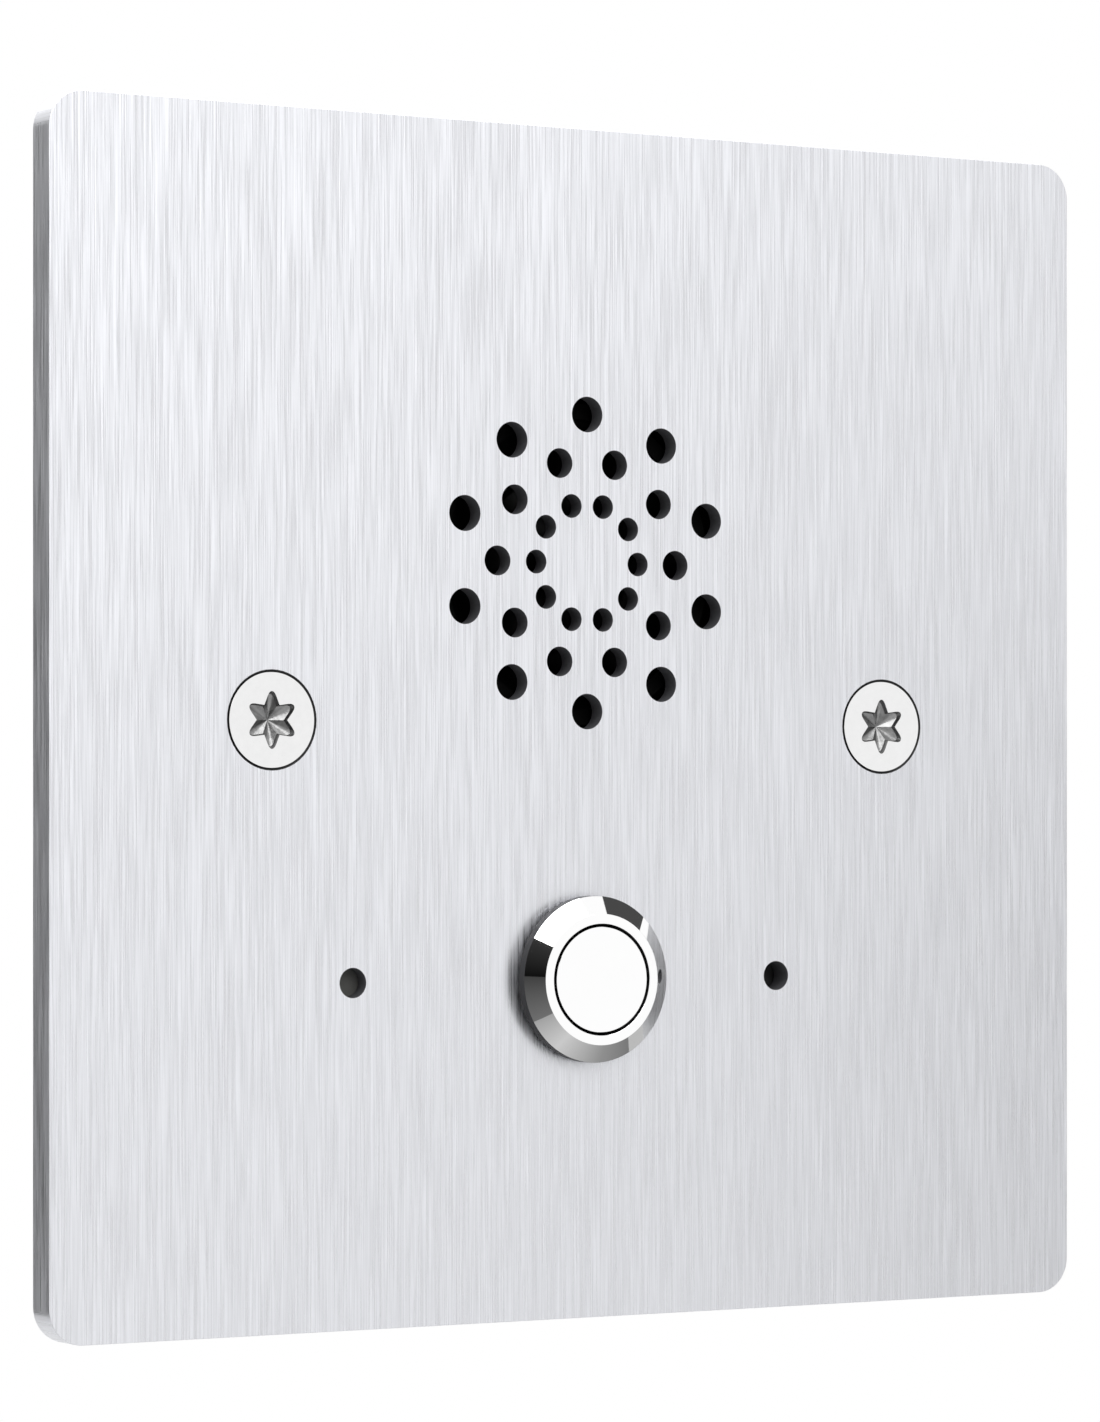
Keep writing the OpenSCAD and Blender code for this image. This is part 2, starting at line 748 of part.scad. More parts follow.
module circuit_board() color("darkgreen") difference() {
    slab(board_front, board_back) difference() {
        rounded(board_w, board_h, 2);
        groove_sketch(groove_room + cover_wall + 0.5);
        translate([0, button_z]) circle(notch_r);
        translate([-notch_r, button_z - board_h]) square([2 * notch_r, board_h]);
    }
    at_posts() bar(0, 0, board_screw_r + 0.1, board_front - over, board_back + over);
    for (s = [-1, 1])
        bar(microphone_x + s * mic_lead_x, side_hole_z, mic_lead_r + 0.1,
            board_front - over, board_back + over);
    at_terminals() bar(0, 0, header_pin_r + 0.1, board_front - over, board_back + over);
}

module processor() color("black")
    box(board_w / 2 - chip_w / 2 - part_inset, low_parts_z - chip_w / 2, chip_w, chip_w,
        board_back, board_back + chip_t);

// Transformer, coil and two capacitors on the back of the board
module board_parts() color("darkslategray") {
    box(part_inset + (transformer_w - board_w) / 2, low_parts_z - transformer_d / 2,
        transformer_w, transformer_d, board_back, board_back + transformer_h);
    box((board_w - coil_w) / 2 - part_inset, socket_z, coil_w, coil_w, board_back, board_back + coil_w / 2);
    for (s = [-1, 1])
        bar(part_inset + capacitor_r - board_w / 2, socket_z + s * capacitor_step / 2, capacitor_r,
            board_back, board_back + capacitor_h);
}

module wire_headers() color("ivory") {
    box(speaker_header.x, speaker_header.y, header_w, header_d, board_front - header_h, board_front);
    box(switch_header.x, switch_header.y, header_w, header_d, board_back, board_back + header_h);
}

module network_socket() color("black") difference() {
    floor_z = socket_z + jack_low;
    root = cover_depth - jack_depth;
    box(0, socket_z, socket_w, socket_h, board_back, cover_depth);
    box(0, floor_z + jack_h / 2, jack_w, jack_h, root, cover_depth + over);
    box(0, floor_z + (jack_h + key_h) / 2, key_w, jack_h + key_h, root, cover_depth + over);
}

module socket_contacts() color("gold") {
    floor_z = socket_z + jack_low;
    tip = cover_depth - jack_contact_back;
    root = cover_depth - jack_depth;
    for (i = [0 : jack_contacts - 1])
        translate([(i - (jack_contacts - 1) / 2) * jack_pitch - jack_contact_w / 2, 0, 0])
            rotate([90, 0, 90]) linear_extrude(jack_contact_w) polygon([
                [tip, floor_z], [tip, floor_z + jack_contact_low],
                [root, floor_z + jack_contact_high], [root, floor_z]
            ]);
}

module terminal_header() color("darkgreen") difference() {
    box(0, terminal_z, shroud_w, shroud_d, board_back, board_back + shroud_h);
    box(0, terminal_z, plug_w + 2 * plug_gap, plug_h + 2 * plug_gap,
        plug_front - plug_gap, board_back + shroud_h + over);
    at_terminals() bar(0, 0, header_pin_r + fit_gap, board_back - over, plug_front + over);
}

module header_pins() color("gold") at_terminals()
    bar(0, 0, header_pin_r, board_front - lead_stub, plug_front + header_pin_len);

module terminal_block() color("green") difference() {
    box(0, terminal_z, plug_w, plug_h, plug_front, plug_back);
    at_terminals() {
        bar(0, 0, header_pin_r + 0.1, plug_front - over, plug_front + header_pin_len + 0.5);
        box(0, wire_entry_z, terminal_pitch - 1, wire_entry_h,
            plug_back - wire_entry_depth, plug_back + over);
        translate([0, terminal_screw_y, terminal_screw_z])
            cylinder(r = terminal_screw_r + 0.05, h = plug_h / 2);
    }
}

module terminal_screws() color("lightgray") at_terminals()
    translate([0, terminal_screw_y, terminal_screw_z]) difference() {
        cylinder(r = terminal_screw_r, h = terminal_screw_h);
        translate([-terminal_screw_r - over, -0.25, 0.7 * terminal_screw_h])
            cube([2 * (terminal_screw_r + over), 0.5, terminal_screw_h]);
    }

// Round grooves along the wall screws, which cut in only where the housing is wide
module groove_sketch(room)
    for (x = [-1, 1]) translate([x * screw_span / 2, 0]) circle(screw_r + room);

module cover_block() hull() for (x = [-1, 1], z = [-1, 1])
    translate([x * (cover_w / 2 - cover_corner_r), 0, z * (cover_h / 2 - cover_corner_r)]) {
        bar(0, 0, cover_corner_r, plate_back, cover_depth - cover_chamfer);
        bar(0, 0, cover_corner_r - cover_chamfer, plate_back, cover_depth);
    }

module rear_cover() color("dimgray") difference() {
    inside = cover_depth - cover_floor;
    union() {
        difference() {
            cover_block($fn = 48);
            slab(plate_back - over, inside) difference() {
                rounded(cover_in_w, cover_in_h, cover_corner_r - cover_wall);
                groove_sketch(groove_room + cover_wall);
            }
            slab(plate_back - over, cover_depth + over) groove_sketch(groove_room);
        }
        for (x = [-1, 1], z = [-1, 1]) {
            w = cover_in_w / 2 - post_x + pillar + pillar_root;
            h = cover_in_h / 2 - post_z + pillar + pillar_root;
            box(x * (post_x - pillar + w / 2), z * (post_z - pillar + h / 2), w, h,
                board_back, inside + pillar_root);
        }
    }
    at_posts() {
        bar(0, 0, board_screw_r + 0.2, board_back - over, cover_depth + over);
        bar(0, 0, cover_head_r + 0.2, cover_head_seat, cover_depth + over);
    }
    box(0, socket_z, socket_w + loose_gap, socket_h + loose_gap, inside - over, cover_depth + over);
    box(0, terminal_z, plug_w + 2 * loose_gap, plug_h + 2 * loose_gap, inside - over, cover_depth + over);
}

module cover_screws() color("lightgray") at_posts() difference() {
    head_end = cover_head_seat + cover_head_h;
    turned(0, 0, [
        [0, cover_screw_end], [board_screw_r, cover_screw_end], [board_screw_r, cover_head_seat],
        [cover_head_r, cover_head_seat], [cover_head_r, head_end - cover_head_bevel],
        [cover_head_r - cover_head_bevel, head_end], [0, head_end]
    ]);
    cross_cut(cross_w, cross_t, head_end - cross_depth, head_end + over);
}

front_plate();
wall_seal();
wall_screws();
standoffs();
speaker_gasket();
speaker_basket();
speaker_surround();
speaker_cone();
dust_cap();
voice_coil();
speaker_yoke();
speaker_magnet();
pole_plate();
speaker_clamps();
clamp_screws();
speaker_leads();
button_body();
button_seal();
lock_washer();
button_nut();
button_cap();
button_plunger();
plunger_seal();
button_spring();
contact_bridge();
contact_block();
switch_pins();
switch_leads();
light_pipe();
status_led();
microphone();
microphone_boot();
microphone_leads();
circuit_board();
processor();
board_parts();
wire_headers();
network_socket();
socket_contacts();
terminal_header();
header_pins();
terminal_block();
terminal_screws();
rear_cover();
cover_screws();
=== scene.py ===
import math

import bpy
from mathutils import Matrix, Vector


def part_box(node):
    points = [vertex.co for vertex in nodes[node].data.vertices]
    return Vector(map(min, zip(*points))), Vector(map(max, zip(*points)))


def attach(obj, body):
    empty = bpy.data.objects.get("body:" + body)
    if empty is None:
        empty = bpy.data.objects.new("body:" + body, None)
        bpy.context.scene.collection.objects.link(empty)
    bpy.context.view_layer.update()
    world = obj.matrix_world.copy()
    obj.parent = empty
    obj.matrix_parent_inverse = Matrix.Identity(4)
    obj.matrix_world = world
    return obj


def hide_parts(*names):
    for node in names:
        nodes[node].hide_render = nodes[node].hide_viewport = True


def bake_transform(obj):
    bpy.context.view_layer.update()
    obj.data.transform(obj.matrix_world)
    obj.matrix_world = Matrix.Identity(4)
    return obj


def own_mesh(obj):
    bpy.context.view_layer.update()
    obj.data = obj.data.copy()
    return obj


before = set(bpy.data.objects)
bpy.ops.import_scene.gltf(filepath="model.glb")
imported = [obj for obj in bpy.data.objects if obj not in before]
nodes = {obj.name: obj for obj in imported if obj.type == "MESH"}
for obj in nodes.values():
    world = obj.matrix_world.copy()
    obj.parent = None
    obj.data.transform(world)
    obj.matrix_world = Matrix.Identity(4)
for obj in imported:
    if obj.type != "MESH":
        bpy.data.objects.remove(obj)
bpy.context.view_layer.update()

mm = 0.001
mergeGap = 1e-6  # points nearer to each other than this, in metres, are one
scene = bpy.context.scene
scene.view_settings.view_transform = "Standard"
print("frame loaded:", len(nodes), "nodes")


# helpers for shaders and new objects
def toLinear(hexText):
    def channel(pair):
        v = int(pair, 16) / 255
        return v / 12.92 if v <= 0.04045 else ((v + 0.055) / 1.055) ** 2.4
    return tuple(channel(hexText[i:i + 2]) for i in (1, 3, 5)) + (1.0,)


def addNode(tree, kind, values=None, links=None, **settings):
    node = tree.nodes.new(kind)
    for key, value in settings.items():
        setattr(node, key, value)
    for key, value in (values or {}).items():
        node.inputs[key].default_value = value
    for key, socket in (links or {}).items():
        tree.links.new(socket, node.inputs[key])
    return node


def newMaterial(name):
    mat = bpy.data.materials.new(name)
    mat.use_nodes = True
    mat.node_tree.nodes.clear()
    return mat, mat.node_tree


def finishMaterial(tree, shaderSocket):
    addNode(tree, "ShaderNodeOutputMaterial", links={"Surface": shaderSocket})


def startPiece(addPrimitive, name, **settings):
    # a primitive to start from, with nothing else selected
    bpy.ops.object.select_all(action="DESELECT")
    addPrimitive(**settings)
    piece = bpy.context.object
    piece.name = name
    return piece


# camera, fitted to the photograph's plate, holes, screws and button
cameraFit = dict(
    place=(-0.2339, -0.3877, -0.0083),  # level with a point 8 mm below the plate's middle
    yaw=30.967,
    lens=135.17,
    shiftY=0.0781,
    sensorWidth=36,
    nearClip=0.01,
    farClip=50,
)


def makeCamera():
    data = bpy.data.cameras.new("panelCamera")
    data.sensor_width = cameraFit["sensorWidth"]
    data.lens = cameraFit["lens"]
    data.shift_y = cameraFit["shiftY"]
    data.clip_start = cameraFit["nearClip"]
    data.clip_end = cameraFit["farClip"]
    camera = bpy.data.objects.new("panelCamera", data)
    camera.location = cameraFit["place"]
    camera.rotation_euler = (math.radians(90), 0, -math.radians(cameraFit["yaw"]))
    scene.collection.objects.link(camera)
    scene.camera = camera


makeCamera()
print("camera placed")


# studio: white surround, large soft lamps, and grey cards that only reflections see
studio = dict(
    worldLight=0.55,
    cardDistance=0.55, cardOverlap=1.04,
    floorZ=-0.5, floorRadius=1.6, floorSides=96, floorColor="#EFEFEF",
    fadeStart=0.15, fadeEnd=1.52, fadeLevel=0.35,  # seen by the camera, the floor fades to white outwards
)
lamps = dict(
    keyLamp=dict(towards=(-0.01, -0.74, 0.67), distance=1.8, size=1.8, power=28.5),
    sideLamp=dict(towards=(-0.85, -0.10, 0.50), distance=1.5, size=1.2, power=4.0),
    backLamp=dict(towards=(0.30, 0.85, 0.45), distance=1.5, size=1.2, power=8.0),
)
# a card runs from one direction to another as seen from the plate's middle, and its grey grades with it
cards = dict(
    besideCameraHigh=dict(start=(-0.432, -0.752, 0.479), end=(-0.596, -0.803, -0.010),
                          breadth=0.45, grey=(0.034, 0.004)),
    besideCameraLow=dict(start=(-0.596, -0.803, -0.010), end=(-0.383, -0.724, -0.577),
                         breadth=0.45, grey=(0.050, 0.160)),
    lowLeft=dict(start=(-0.383, -0.724, -0.577), end=(-0.024, -0.577, -0.818),
                 breadth=0.28, grey=(0.36, 0.60)),
    lowMiddle=dict(start=(-0.024, -0.577, -0.818), end=(0.549, -0.282, -0.787),
                   breadth=0.28, grey=(0.60, 0.27)),
    lowRight=dict(start=(0.549, -0.282, -0.787), end=(0.801, -0.121, -0.586),
                  breadth=0.28, grey=(0.28, 0.19)),
    pastEdge=dict(start=(0.801, -0.121, -0.586), end=(0.932, 0.031, -0.361),
                  breadth=0.20, grey=(0.50, 0.50)),
    highRight=dict(start=(0.915, 0.000, 0.400), end=(0.605, -0.285, 0.745),
                   breadth=0.28, grey=(0.065, 0.065)),
    farRight=dict(start=(0.740, -0.660, -0.280), end=(0.990, -0.120, -0.050),
                  breadth=0.30, grey=(0.03, 0.12)),
    acrossPlate=dict(start=(0.955, -0.220, 0.000), end=(0.920, -0.220, 0.300),
                     breadth=0.18, grey=(0.10, 0.10)),
    behindLeft=dict(start=(-0.430, 0.850, -0.300), end=(-0.430, 0.850, 0.300),
                    breadth=0.50, grey=(0.070, 0.205)),
)


def makeWorld():
    world = bpy.data.worlds.new("whiteSurround")
    scene.world = world
    world.use_nodes = True
    tree = world.node_tree
    tree.nodes.clear()
    path = addNode(tree, "ShaderNodeLightPath")
    seen = addNode(tree, "ShaderNodeMath", operation="MAXIMUM",
                   links={0: path.outputs["Is Camera Ray"], 1: path.outputs["Is Glossy Ray"]})
    seen = addNode(tree, "ShaderNodeMath", operation="MAXIMUM",
                   links={0: seen.outputs[0], 1: path.outputs["Is Transmission Ray"]})
    strength = addNode(tree, "ShaderNodeMapRange",
                       values={"To Min": studio["worldLight"], "To Max": 1.0},
                       links={"Value": seen.outputs[0]})
    back = addNode(tree, "ShaderNodeBackground", values={"Color": (1, 1, 1, 1)},
                   links={"Strength": strength.outputs[0]})
    addNode(tree, "ShaderNodeOutputWorld", links={"Surface": back.outputs[0]})


def makeLamp(name, towards, distance, size, power):
    data = bpy.data.lights.new(name, "AREA")
    data.shape = "DISK"
    data.size = size
    data.energy = power
    lamp = bpy.data.objects.new(name, data)
    lamp.location = Vector(towards).normalized() * distance
    lamp.rotation_mode = "QUATERNION"
    lamp.rotation_quaternion = Vector(towards).to_track_quat("Z", "Y")
    lamp.visible_camera = False
    scene.collection.objects.link(lamp)


def makeCard(name, start, end, breadth, grey):
    mat, tree = newMaterial(name + "Grey")
    place = addNode(tree, "ShaderNodeTexCoord")
    split = addNode(tree, "ShaderNodeSeparateXYZ", links={0: place.outputs["Object"]})
    level = addNode(tree, "ShaderNodeMapRange",
                    values={"From Min": -0.5, "From Max": 0.5, "To Min": grey[0], "To Max": grey[1]},
                    links={"Value": split.outputs["X"]})
    glow = addNode(tree, "ShaderNodeEmission", links={"Strength": level.outputs[0]})
    finishMaterial(tree, glow.outputs[0])
    card = startPiece(bpy.ops.mesh.primitive_plane_add, name, size=1)
    first = Vector(start).normalized() * studio["cardDistance"]
    last = Vector(end).normalized() * studio["cardDistance"]
    along = last - first
    outward = ((first + last) / 2).normalized()
    across = outward.cross(along).normalized()
    turn = Matrix((along.normalized(), across, outward)).transposed().to_4x4()
    card.matrix_world = (Matrix.Translation((first + last) / 2) @ turn
                         @ Matrix.Diagonal((along.length * studio["cardOverlap"], breadth, 1, 1)))
    card.data.materials.append(mat)
    card.visible_camera = False
    card.visible_diffuse = False
    card.visible_transmission = False
    card.visible_shadow = False


def makeFloor():
    mat, tree = newMaterial("paleFloorPaint")
    path = addNode(tree, "ShaderNodeLightPath")
    paint = addNode(tree, "ShaderNodeBsdfDiffuse", values={"Color": toLinear(studio["floorColor"])})
    white = addNode(tree, "ShaderNodeEmission", values={"Color": (1, 1, 1, 1), "Strength": 1.0})
    place = addNode(tree, "ShaderNodeTexCoord")
    reach = addNode(tree, "ShaderNodeVectorMath", operation="LENGTH", links={0: place.outputs["Object"]})
    fade = addNode(tree, "ShaderNodeMapRange",
                   values={"From Min": studio["fadeStart"], "From Max": studio["fadeEnd"],
                           "To Min": studio["fadeLevel"], "To Max": 1.0},
                   links={"Value": reach.outputs["Value"]})
    seen = addNode(tree, "ShaderNodeMath", operation="MULTIPLY",
                   links={0: fade.outputs[0], 1: path.outputs["Is Camera Ray"]})
    both = addNode(tree, "ShaderNodeMixShader",
                   links={0: seen.outputs[0], 1: paint.outputs[0], 2: white.outputs[0]})
    finishMaterial(tree, both.outputs[0])
    floor = startPiece(bpy.ops.mesh.primitive_circle_add, "paleFloor", vertices=studio["floorSides"],
                       radius=studio["floorRadius"], fill_type="NGON", location=(0, 0, studio["floorZ"]))
    floor.data.materials.append(mat)


makeWorld()
for name, lamp in lamps.items():
    makeLamp(name, **lamp)
for name, card in cards.items():
    makeCard(name, **card)
makeFloor()
print("studio lit:", len(lamps), "lamps,", len(cards), "cards")


# materials
stainless = dict(
    color="#DDDEE2",
    roughness=0.36, roughSpread=0.12, roughRange=(0.3, 0.7),
    fineWidth=0.065 * mm, fineLength=7 * mm,  # belt scratches, coarser than the real grit so that they show
    broadWidth=0.35 * mm, broadLength=30 * mm,  # bands where the belt bit deeper
    broadShare=0.04, streakTone=0.095, toneRange=(0.35, 0.65),
    scratchDepth=0.02 * mm, scratchStrength=0.22,
    edgeTilt=0.12,  # edges that lean further up or down than this are brushed crosswise
)


def brushedStainless():
    # stainless sheet, belt-brushed upright: long soft scratches, short ones across the upper and lower edges
    mat, tree = newMaterial("brushedStainlessSteel")
    place = addNode(tree, "ShaderNodeTexCoord")
    facing = addNode(tree, "ShaderNodeSeparateXYZ", links={0: place.outputs["Normal"]})
    tilt = addNode(tree, "ShaderNodeMath", operation="ABSOLUTE", links={0: facing.outputs["Z"]})
    onEdge = addNode(tree, "ShaderNodeMath", operation="GREATER_THAN",
                     values={1: stainless["edgeTilt"]}, links={0: tilt.outputs[0]})
    layers = []
    for width, length in ((stainless["fineWidth"], stainless["fineLength"]),
                          (stainless["broadWidth"], stainless["broadLength"])):
        upright = addNode(tree, "ShaderNodeMapping", links={"Vector": place.outputs["Object"]},
                          values={"Scale": (1 / width, 1 / width, 1 / length)})
        crosswise = addNode(tree, "ShaderNodeMapping", links={"Vector": place.outputs["Object"]},
                            values={"Scale": (1 / width, 1 / length, 1 / width)})
        grain = addNode(tree, "ShaderNodeMix", data_type="VECTOR",
                        links={"Factor": onEdge.outputs[0], "A": upright.outputs[0],
                               "B": crosswise.outputs[0]})
        layers.append(addNode(tree, "ShaderNodeTexNoise", values={"Scale": 1.0, "Detail": 1.0},
                              links={"Vector": grain.outputs["Result"]}))
    streak = addNode(tree, "ShaderNodeMix", data_type="FLOAT", values={"Factor": stainless["broadShare"]},
                     links={"A": layers[0].outputs["Fac"], "B": layers[1].outputs["Fac"]})
    low, high = stainless["toneRange"]
    spread = stainless["streakTone"]
    tone = addNode(tree, "ShaderNodeMapRange",
                   values={"From Min": low, "From Max": high, "To Min": 1 - spread, "To Max": 1 + spread},
                   links={"Value": streak.outputs["Result"]})
    color = addNode(tree, "ShaderNodeVectorMath", operation="SCALE",
                    values={0: toLinear(stainless["color"])[:3]}, links={"Scale": tone.outputs[0]})
    low, high = stainless["roughRange"]
    spread = stainless["roughSpread"]
    rough = addNode(tree, "ShaderNodeMapRange",
                    values={"From Min": low, "From Max": high, "To Min": stainless["roughness"] - spread,
                            "To Max": stainless["roughness"] + spread},
                    links={"Value": streak.outputs["Result"]})
    bump = addNode(tree, "ShaderNodeBump",
                   values={"Strength": stainless["scratchStrength"], "Distance": stainless["scratchDepth"]},
                   links={"Height": streak.outputs["Result"]})
    steel = addNode(tree, "ShaderNodeBsdfPrincipled", values={"Metallic": 1.0},
                    links={"Base Color": color.outputs[0], "Roughness": rough.outputs[0],
                           "Normal": bump.outputs[0]})
    finishMaterial(tree, steel.outputs[0])
    return mat


# how every grain is drawn: its noise, the part of the noise that counts, and how far the gloss follows it
grainNoise = dict(detail=4.0, roughness=0.55, low=0.3, high=0.7, glossSpread=0.15, bumpStrength=0.3)


def grainedSurface(name, color, metallic, roughness, grain, tone=0.06, bumpHeight=0.004 * mm,
                   coat=0.0, shine=0.5):
    # a base colour with a fine grain in tone, gloss and height; grain is the feature size in metres
    low, high, spread = grainNoise["low"], grainNoise["high"], grainNoise["glossSpread"]
    mat, tree = newMaterial(name)
    place = addNode(tree, "ShaderNodeTexCoord")
    noise = addNode(tree, "ShaderNodeTexNoise",
                    values={"Scale": 1 / grain, "Detail": grainNoise["detail"],
                            "Roughness": grainNoise["roughness"]},
                    links={"Vector": place.outputs["Object"]})
    level = addNode(tree, "ShaderNodeMapRange",
                    values={"From Min": low, "From Max": high, "To Min": 1 - tone, "To Max": 1 + tone},
                    links={"Value": noise.outputs["Fac"]})
    tint = addNode(tree, "ShaderNodeVectorMath", operation="SCALE",
                   values={0: toLinear(color)[:3]}, links={"Scale": level.outputs[0]})
    gloss = addNode(tree, "ShaderNodeMapRange",
                    values={"From Min": low, "From Max": high, "To Min": roughness * (1 - spread),
                            "To Max": roughness * (1 + spread)},
                    links={"Value": noise.outputs["Fac"]})
    bump = addNode(tree, "ShaderNodeBump",
                   values={"Strength": grainNoise["bumpStrength"], "Distance": bumpHeight},
                   links={"Height": noise.outputs["Fac"]})
    skin = addNode(tree, "ShaderNodeBsdfPrincipled",
                   values={"Metallic": metallic, "Coat Weight": coat, "Specular IOR Level": shine},
                   links={"Base Color": tint.outputs[0], "Roughness": gloss.outputs[0],
                          "Normal": bump.outputs[0]})
    finishMaterial(tree, skin.outputs[0])
    return mat


# the other finishes: grain is the size of what varies, and tone is how far the colour goes with it
finishes = dict(
    # only the face is brushed; the back keeps the mill's even, dull grey
    millFinishSteel=dict(color="#A8A9AC", metallic=1.0, roughness=0.42, grain=0.6 * mm, tone=0.04,
                         bumpHeight=0.003 * mm),
    # laser-cut hole wall in a dull dark grey: painted shade, so the holes read dark against the bright face
    paintedShadeHoleWall=dict(color="#4B4B4E", metallic=0.0, roughness=0.6, grain=0.3 * mm, tone=0.1),
    # painted shade: a near-black line round each screw head and round the cap, in the turned recesses
    paintedShadeGap=dict(color="#0D0D0E", metallic=0.0, roughness=0.6, grain=0.3 * mm, tone=0.1),
    # turned and tumbled: an even, pale, nearly mirror-bright face
    polishedScrewSteel=dict(color="#EFEFEF", metallic=1.0, roughness=0.10, grain=0.6 * mm, tone=0.015,
                            bumpHeight=0.001 * mm),
    # the star is cold-punched: duller and greyer than the face, the grey partly painted shade in the recess,
    # with the punch's ripples
    shadedPunchedRecess=dict(color="#8A8A8A", metallic=1.0, roughness=0.3, grain=0.7 * mm, tone=0.25,
                       bumpHeight=0.1 * mm),
    # flange side in a dull dark grey: painted shade, a dark line under the plated bevel
    paintedShadeFlangeSide=dict(color="#343436", metallic=0.0, roughness=0.5, grain=0.5 * mm, tone=0.05,
                          bumpHeight=0.002 * mm, shine=0.25),
    # bright plating that mirrors its surroundings
    chromePlate=dict(color="#FDFDFD", metallic=1.0, roughness=0.03, grain=2 * mm, tone=0.004,
                     bumpHeight=0.0003 * mm),
    # thin barrel plating: a soft grey shine with faint spangle
    zincPlate=dict(color="#BDBFC2", metallic=1.0, roughness=0.34, grain=0.8 * mm),
    # drawn wire, a little darker than the plated pieces
    springWire=dict(color="#A5A5A8", metallic=1.0, roughness=0.3, grain=0.5 * mm),
    # smoother plating with a warm cast, on the magnet and its iron
    nickelPlate=dict(color="#C4C0B8", metallic=1.0, roughness=0.25, grain=0.9 * mm),
    # thin gold over nickel: warm and bright contacts
    goldFlash=dict(color="#D9B566", metallic=1.0, roughness=0.25, grain=0.3 * mm),
    # lacquered winding wire: red-brown with a silky gloss
    enamelledCopper=dict(color="#B8713F", metallic=1.0, roughness=0.35, grain=0.2 * mm),
    # cut closed-cell foam: matt black with open pores
    epdmFoam=dict(color="#2B2B2B", metallic=0.0, roughness=0.9, grain=0.5 * mm, tone=0.25,
                  bumpHeight=0.08 * mm),
    # moulded rubber: near black, with a dusty sheen
    siliconeRubber=dict(color="#191919", metallic=0.0, roughness=0.6, grain=0.3 * mm, tone=0.1,
                        bumpHeight=0.01 * mm),
    # thin rubber of the speaker's roll, dead black so that the holes look deep
    rollRubber=dict(color="#060606", metallic=0.0, roughness=0.8, grain=0.15 * mm, tone=0.1,
                    bumpHeight=0.008 * mm, shine=0.1),
    # spark-eroded mould: an even leathery grain on black plastic
    mouldedAbs=dict(color="#262627", metallic=0.0, roughness=0.5, grain=0.28 * mm, tone=0.12,
                    bumpHeight=0.03 * mm),
    # smooth black mouldings of the switch and the socket
    blackNylon=dict(color="#1E1E1E", metallic=0.0, roughness=0.45, grain=0.3 * mm, tone=0.1,
                    bumpHeight=0.01 * mm),
    # the usual green of plug-in terminals, faintly mottled
    greenPolyamide=dict(color="#2E8B57", metallic=0.0, roughness=0.45, grain=0.3 * mm, tone=0.08,
                        bumpHeight=0.015 * mm),
    # undyed mouldings of the wire headers
    ivoryNylon=dict(color="#E4DCC4", metallic=0.0, roughness=0.5, grain=0.4 * mm),
    # dull woven pad over the microphone, a shade lighter than the speaker's holes
    blackFelt=dict(color="#424242", metallic=0.0, roughness=0.95, grain=0.15 * mm, tone=0.2,
                   bumpHeight=0.03 * mm),
    # formed film of the cone: black, with a weak gloss that barely shows through the holes
    polyesterFilm=dict(color="#080808", metallic=0.0, roughness=0.5, grain=1.5 * mm, tone=0.1,
                       bumpHeight=0.02 * mm, shine=0.15),
    # stove-black speaker frame
    matteBlackFrame=dict(color="#060606", metallic=0.0, roughness=0.75, grain=0.3 * mm, tone=0.1,
                         bumpHeight=0.01 * mm, shine=0.1),
    # end of the light pipe: a flat dark grey disc while the lamp is off
    smokedAcrylic=dict(color="#41413F", metallic=0.0, roughness=0.65, grain=1.0 * mm, tone=0.03,
                       bumpHeight=0.001 * mm),
    # milky body of the indicator lamp
    ledResin=dict(color="#E8E6DC", metallic=0.0, roughness=0.4, grain=0.4 * mm, tone=0.03),
    # lacquered circuit board: deep green under a clear gloss
    solderResist=dict(color="#1C5A36", metallic=0.0, roughness=0.35, grain=1.2 * mm, tone=0.1,
                      bumpHeight=0.01 * mm, coat=0.4),
    # moulded chip bodies: charcoal with a fine grit
    chipResin=dict(color="#202022", metallic=0.0, roughness=0.6, grain=0.2 * mm, tone=0.1,
                   bumpHeight=0.01 * mm),
    # drawn red wire covering, half gloss
    redInsulation=dict(color="#A8231F", metallic=0.0, roughness=0.45, grain=0.5 * mm),
)
# the CAD nodes that wear each finish
wornBy = dict(
    brushedStainlessSteel=("front_plate",),
    polishedScrewSteel=("wall_screws",),
    chromePlate=("button_body", "button_cap"),
    zincPlate=("standoffs", "speaker_clamps", "clamp_screws", "lock_washer", "button_nut",
               "terminal_screws", "cover_screws"),
    springWire=("button_spring",),
    nickelPlate=("speaker_yoke", "speaker_magnet", "pole_plate"),
    goldFlash=("contact_bridge", "switch_pins", "microphone_leads", "socket_contacts", "header_pins"),
    enamelledCopper=("voice_coil",),
    epdmFoam=("wall_seal", "speaker_gasket"),
    siliconeRubber=("button_seal", "plunger_seal", "microphone_boot"),
    rollRubber=("speaker_surround",),
    mouldedAbs=("rear_cover",),
    blackNylon=("button_plunger", "contact_block", "network_socket"),
    greenPolyamide=("terminal_block", "terminal_header"),
    ivoryNylon=("wire_headers",),
    blackFelt=("microphone",),
    polyesterFilm=("speaker_cone", "dust_cap"),
    matteBlackFrame=("speaker_basket",),
    smokedAcrylic=("light_pipe",),
    ledResin=("status_led",),
    solderResist=("circuit_board",),
    chipResin=("processor", "board_parts"),
    redInsulation=("speaker_leads", "switch_leads"),
)


def setMaterials(piece, *names):
    piece.data.materials.clear()
    for name in names:
        piece.data.materials.append(materials[name])


materials = {name: grainedSurface(name, **look) for name, look in finishes.items()}
materials["brushedStainlessSteel"] = brushedStainless()
for name, worn in wornBy.items():
    for node in worn:
        setMaterials(nodes[node], name)
print("materials on every node:", len(materials))


# helpers for modelling
def middle(node):
    low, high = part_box(node)
    return (low + high) / 2


def onlySelect(piece):
    bpy.ops.object.select_all(action="DESELECT")
    piece.select_set(True)
    bpy.context.view_layer.objects.active = piece


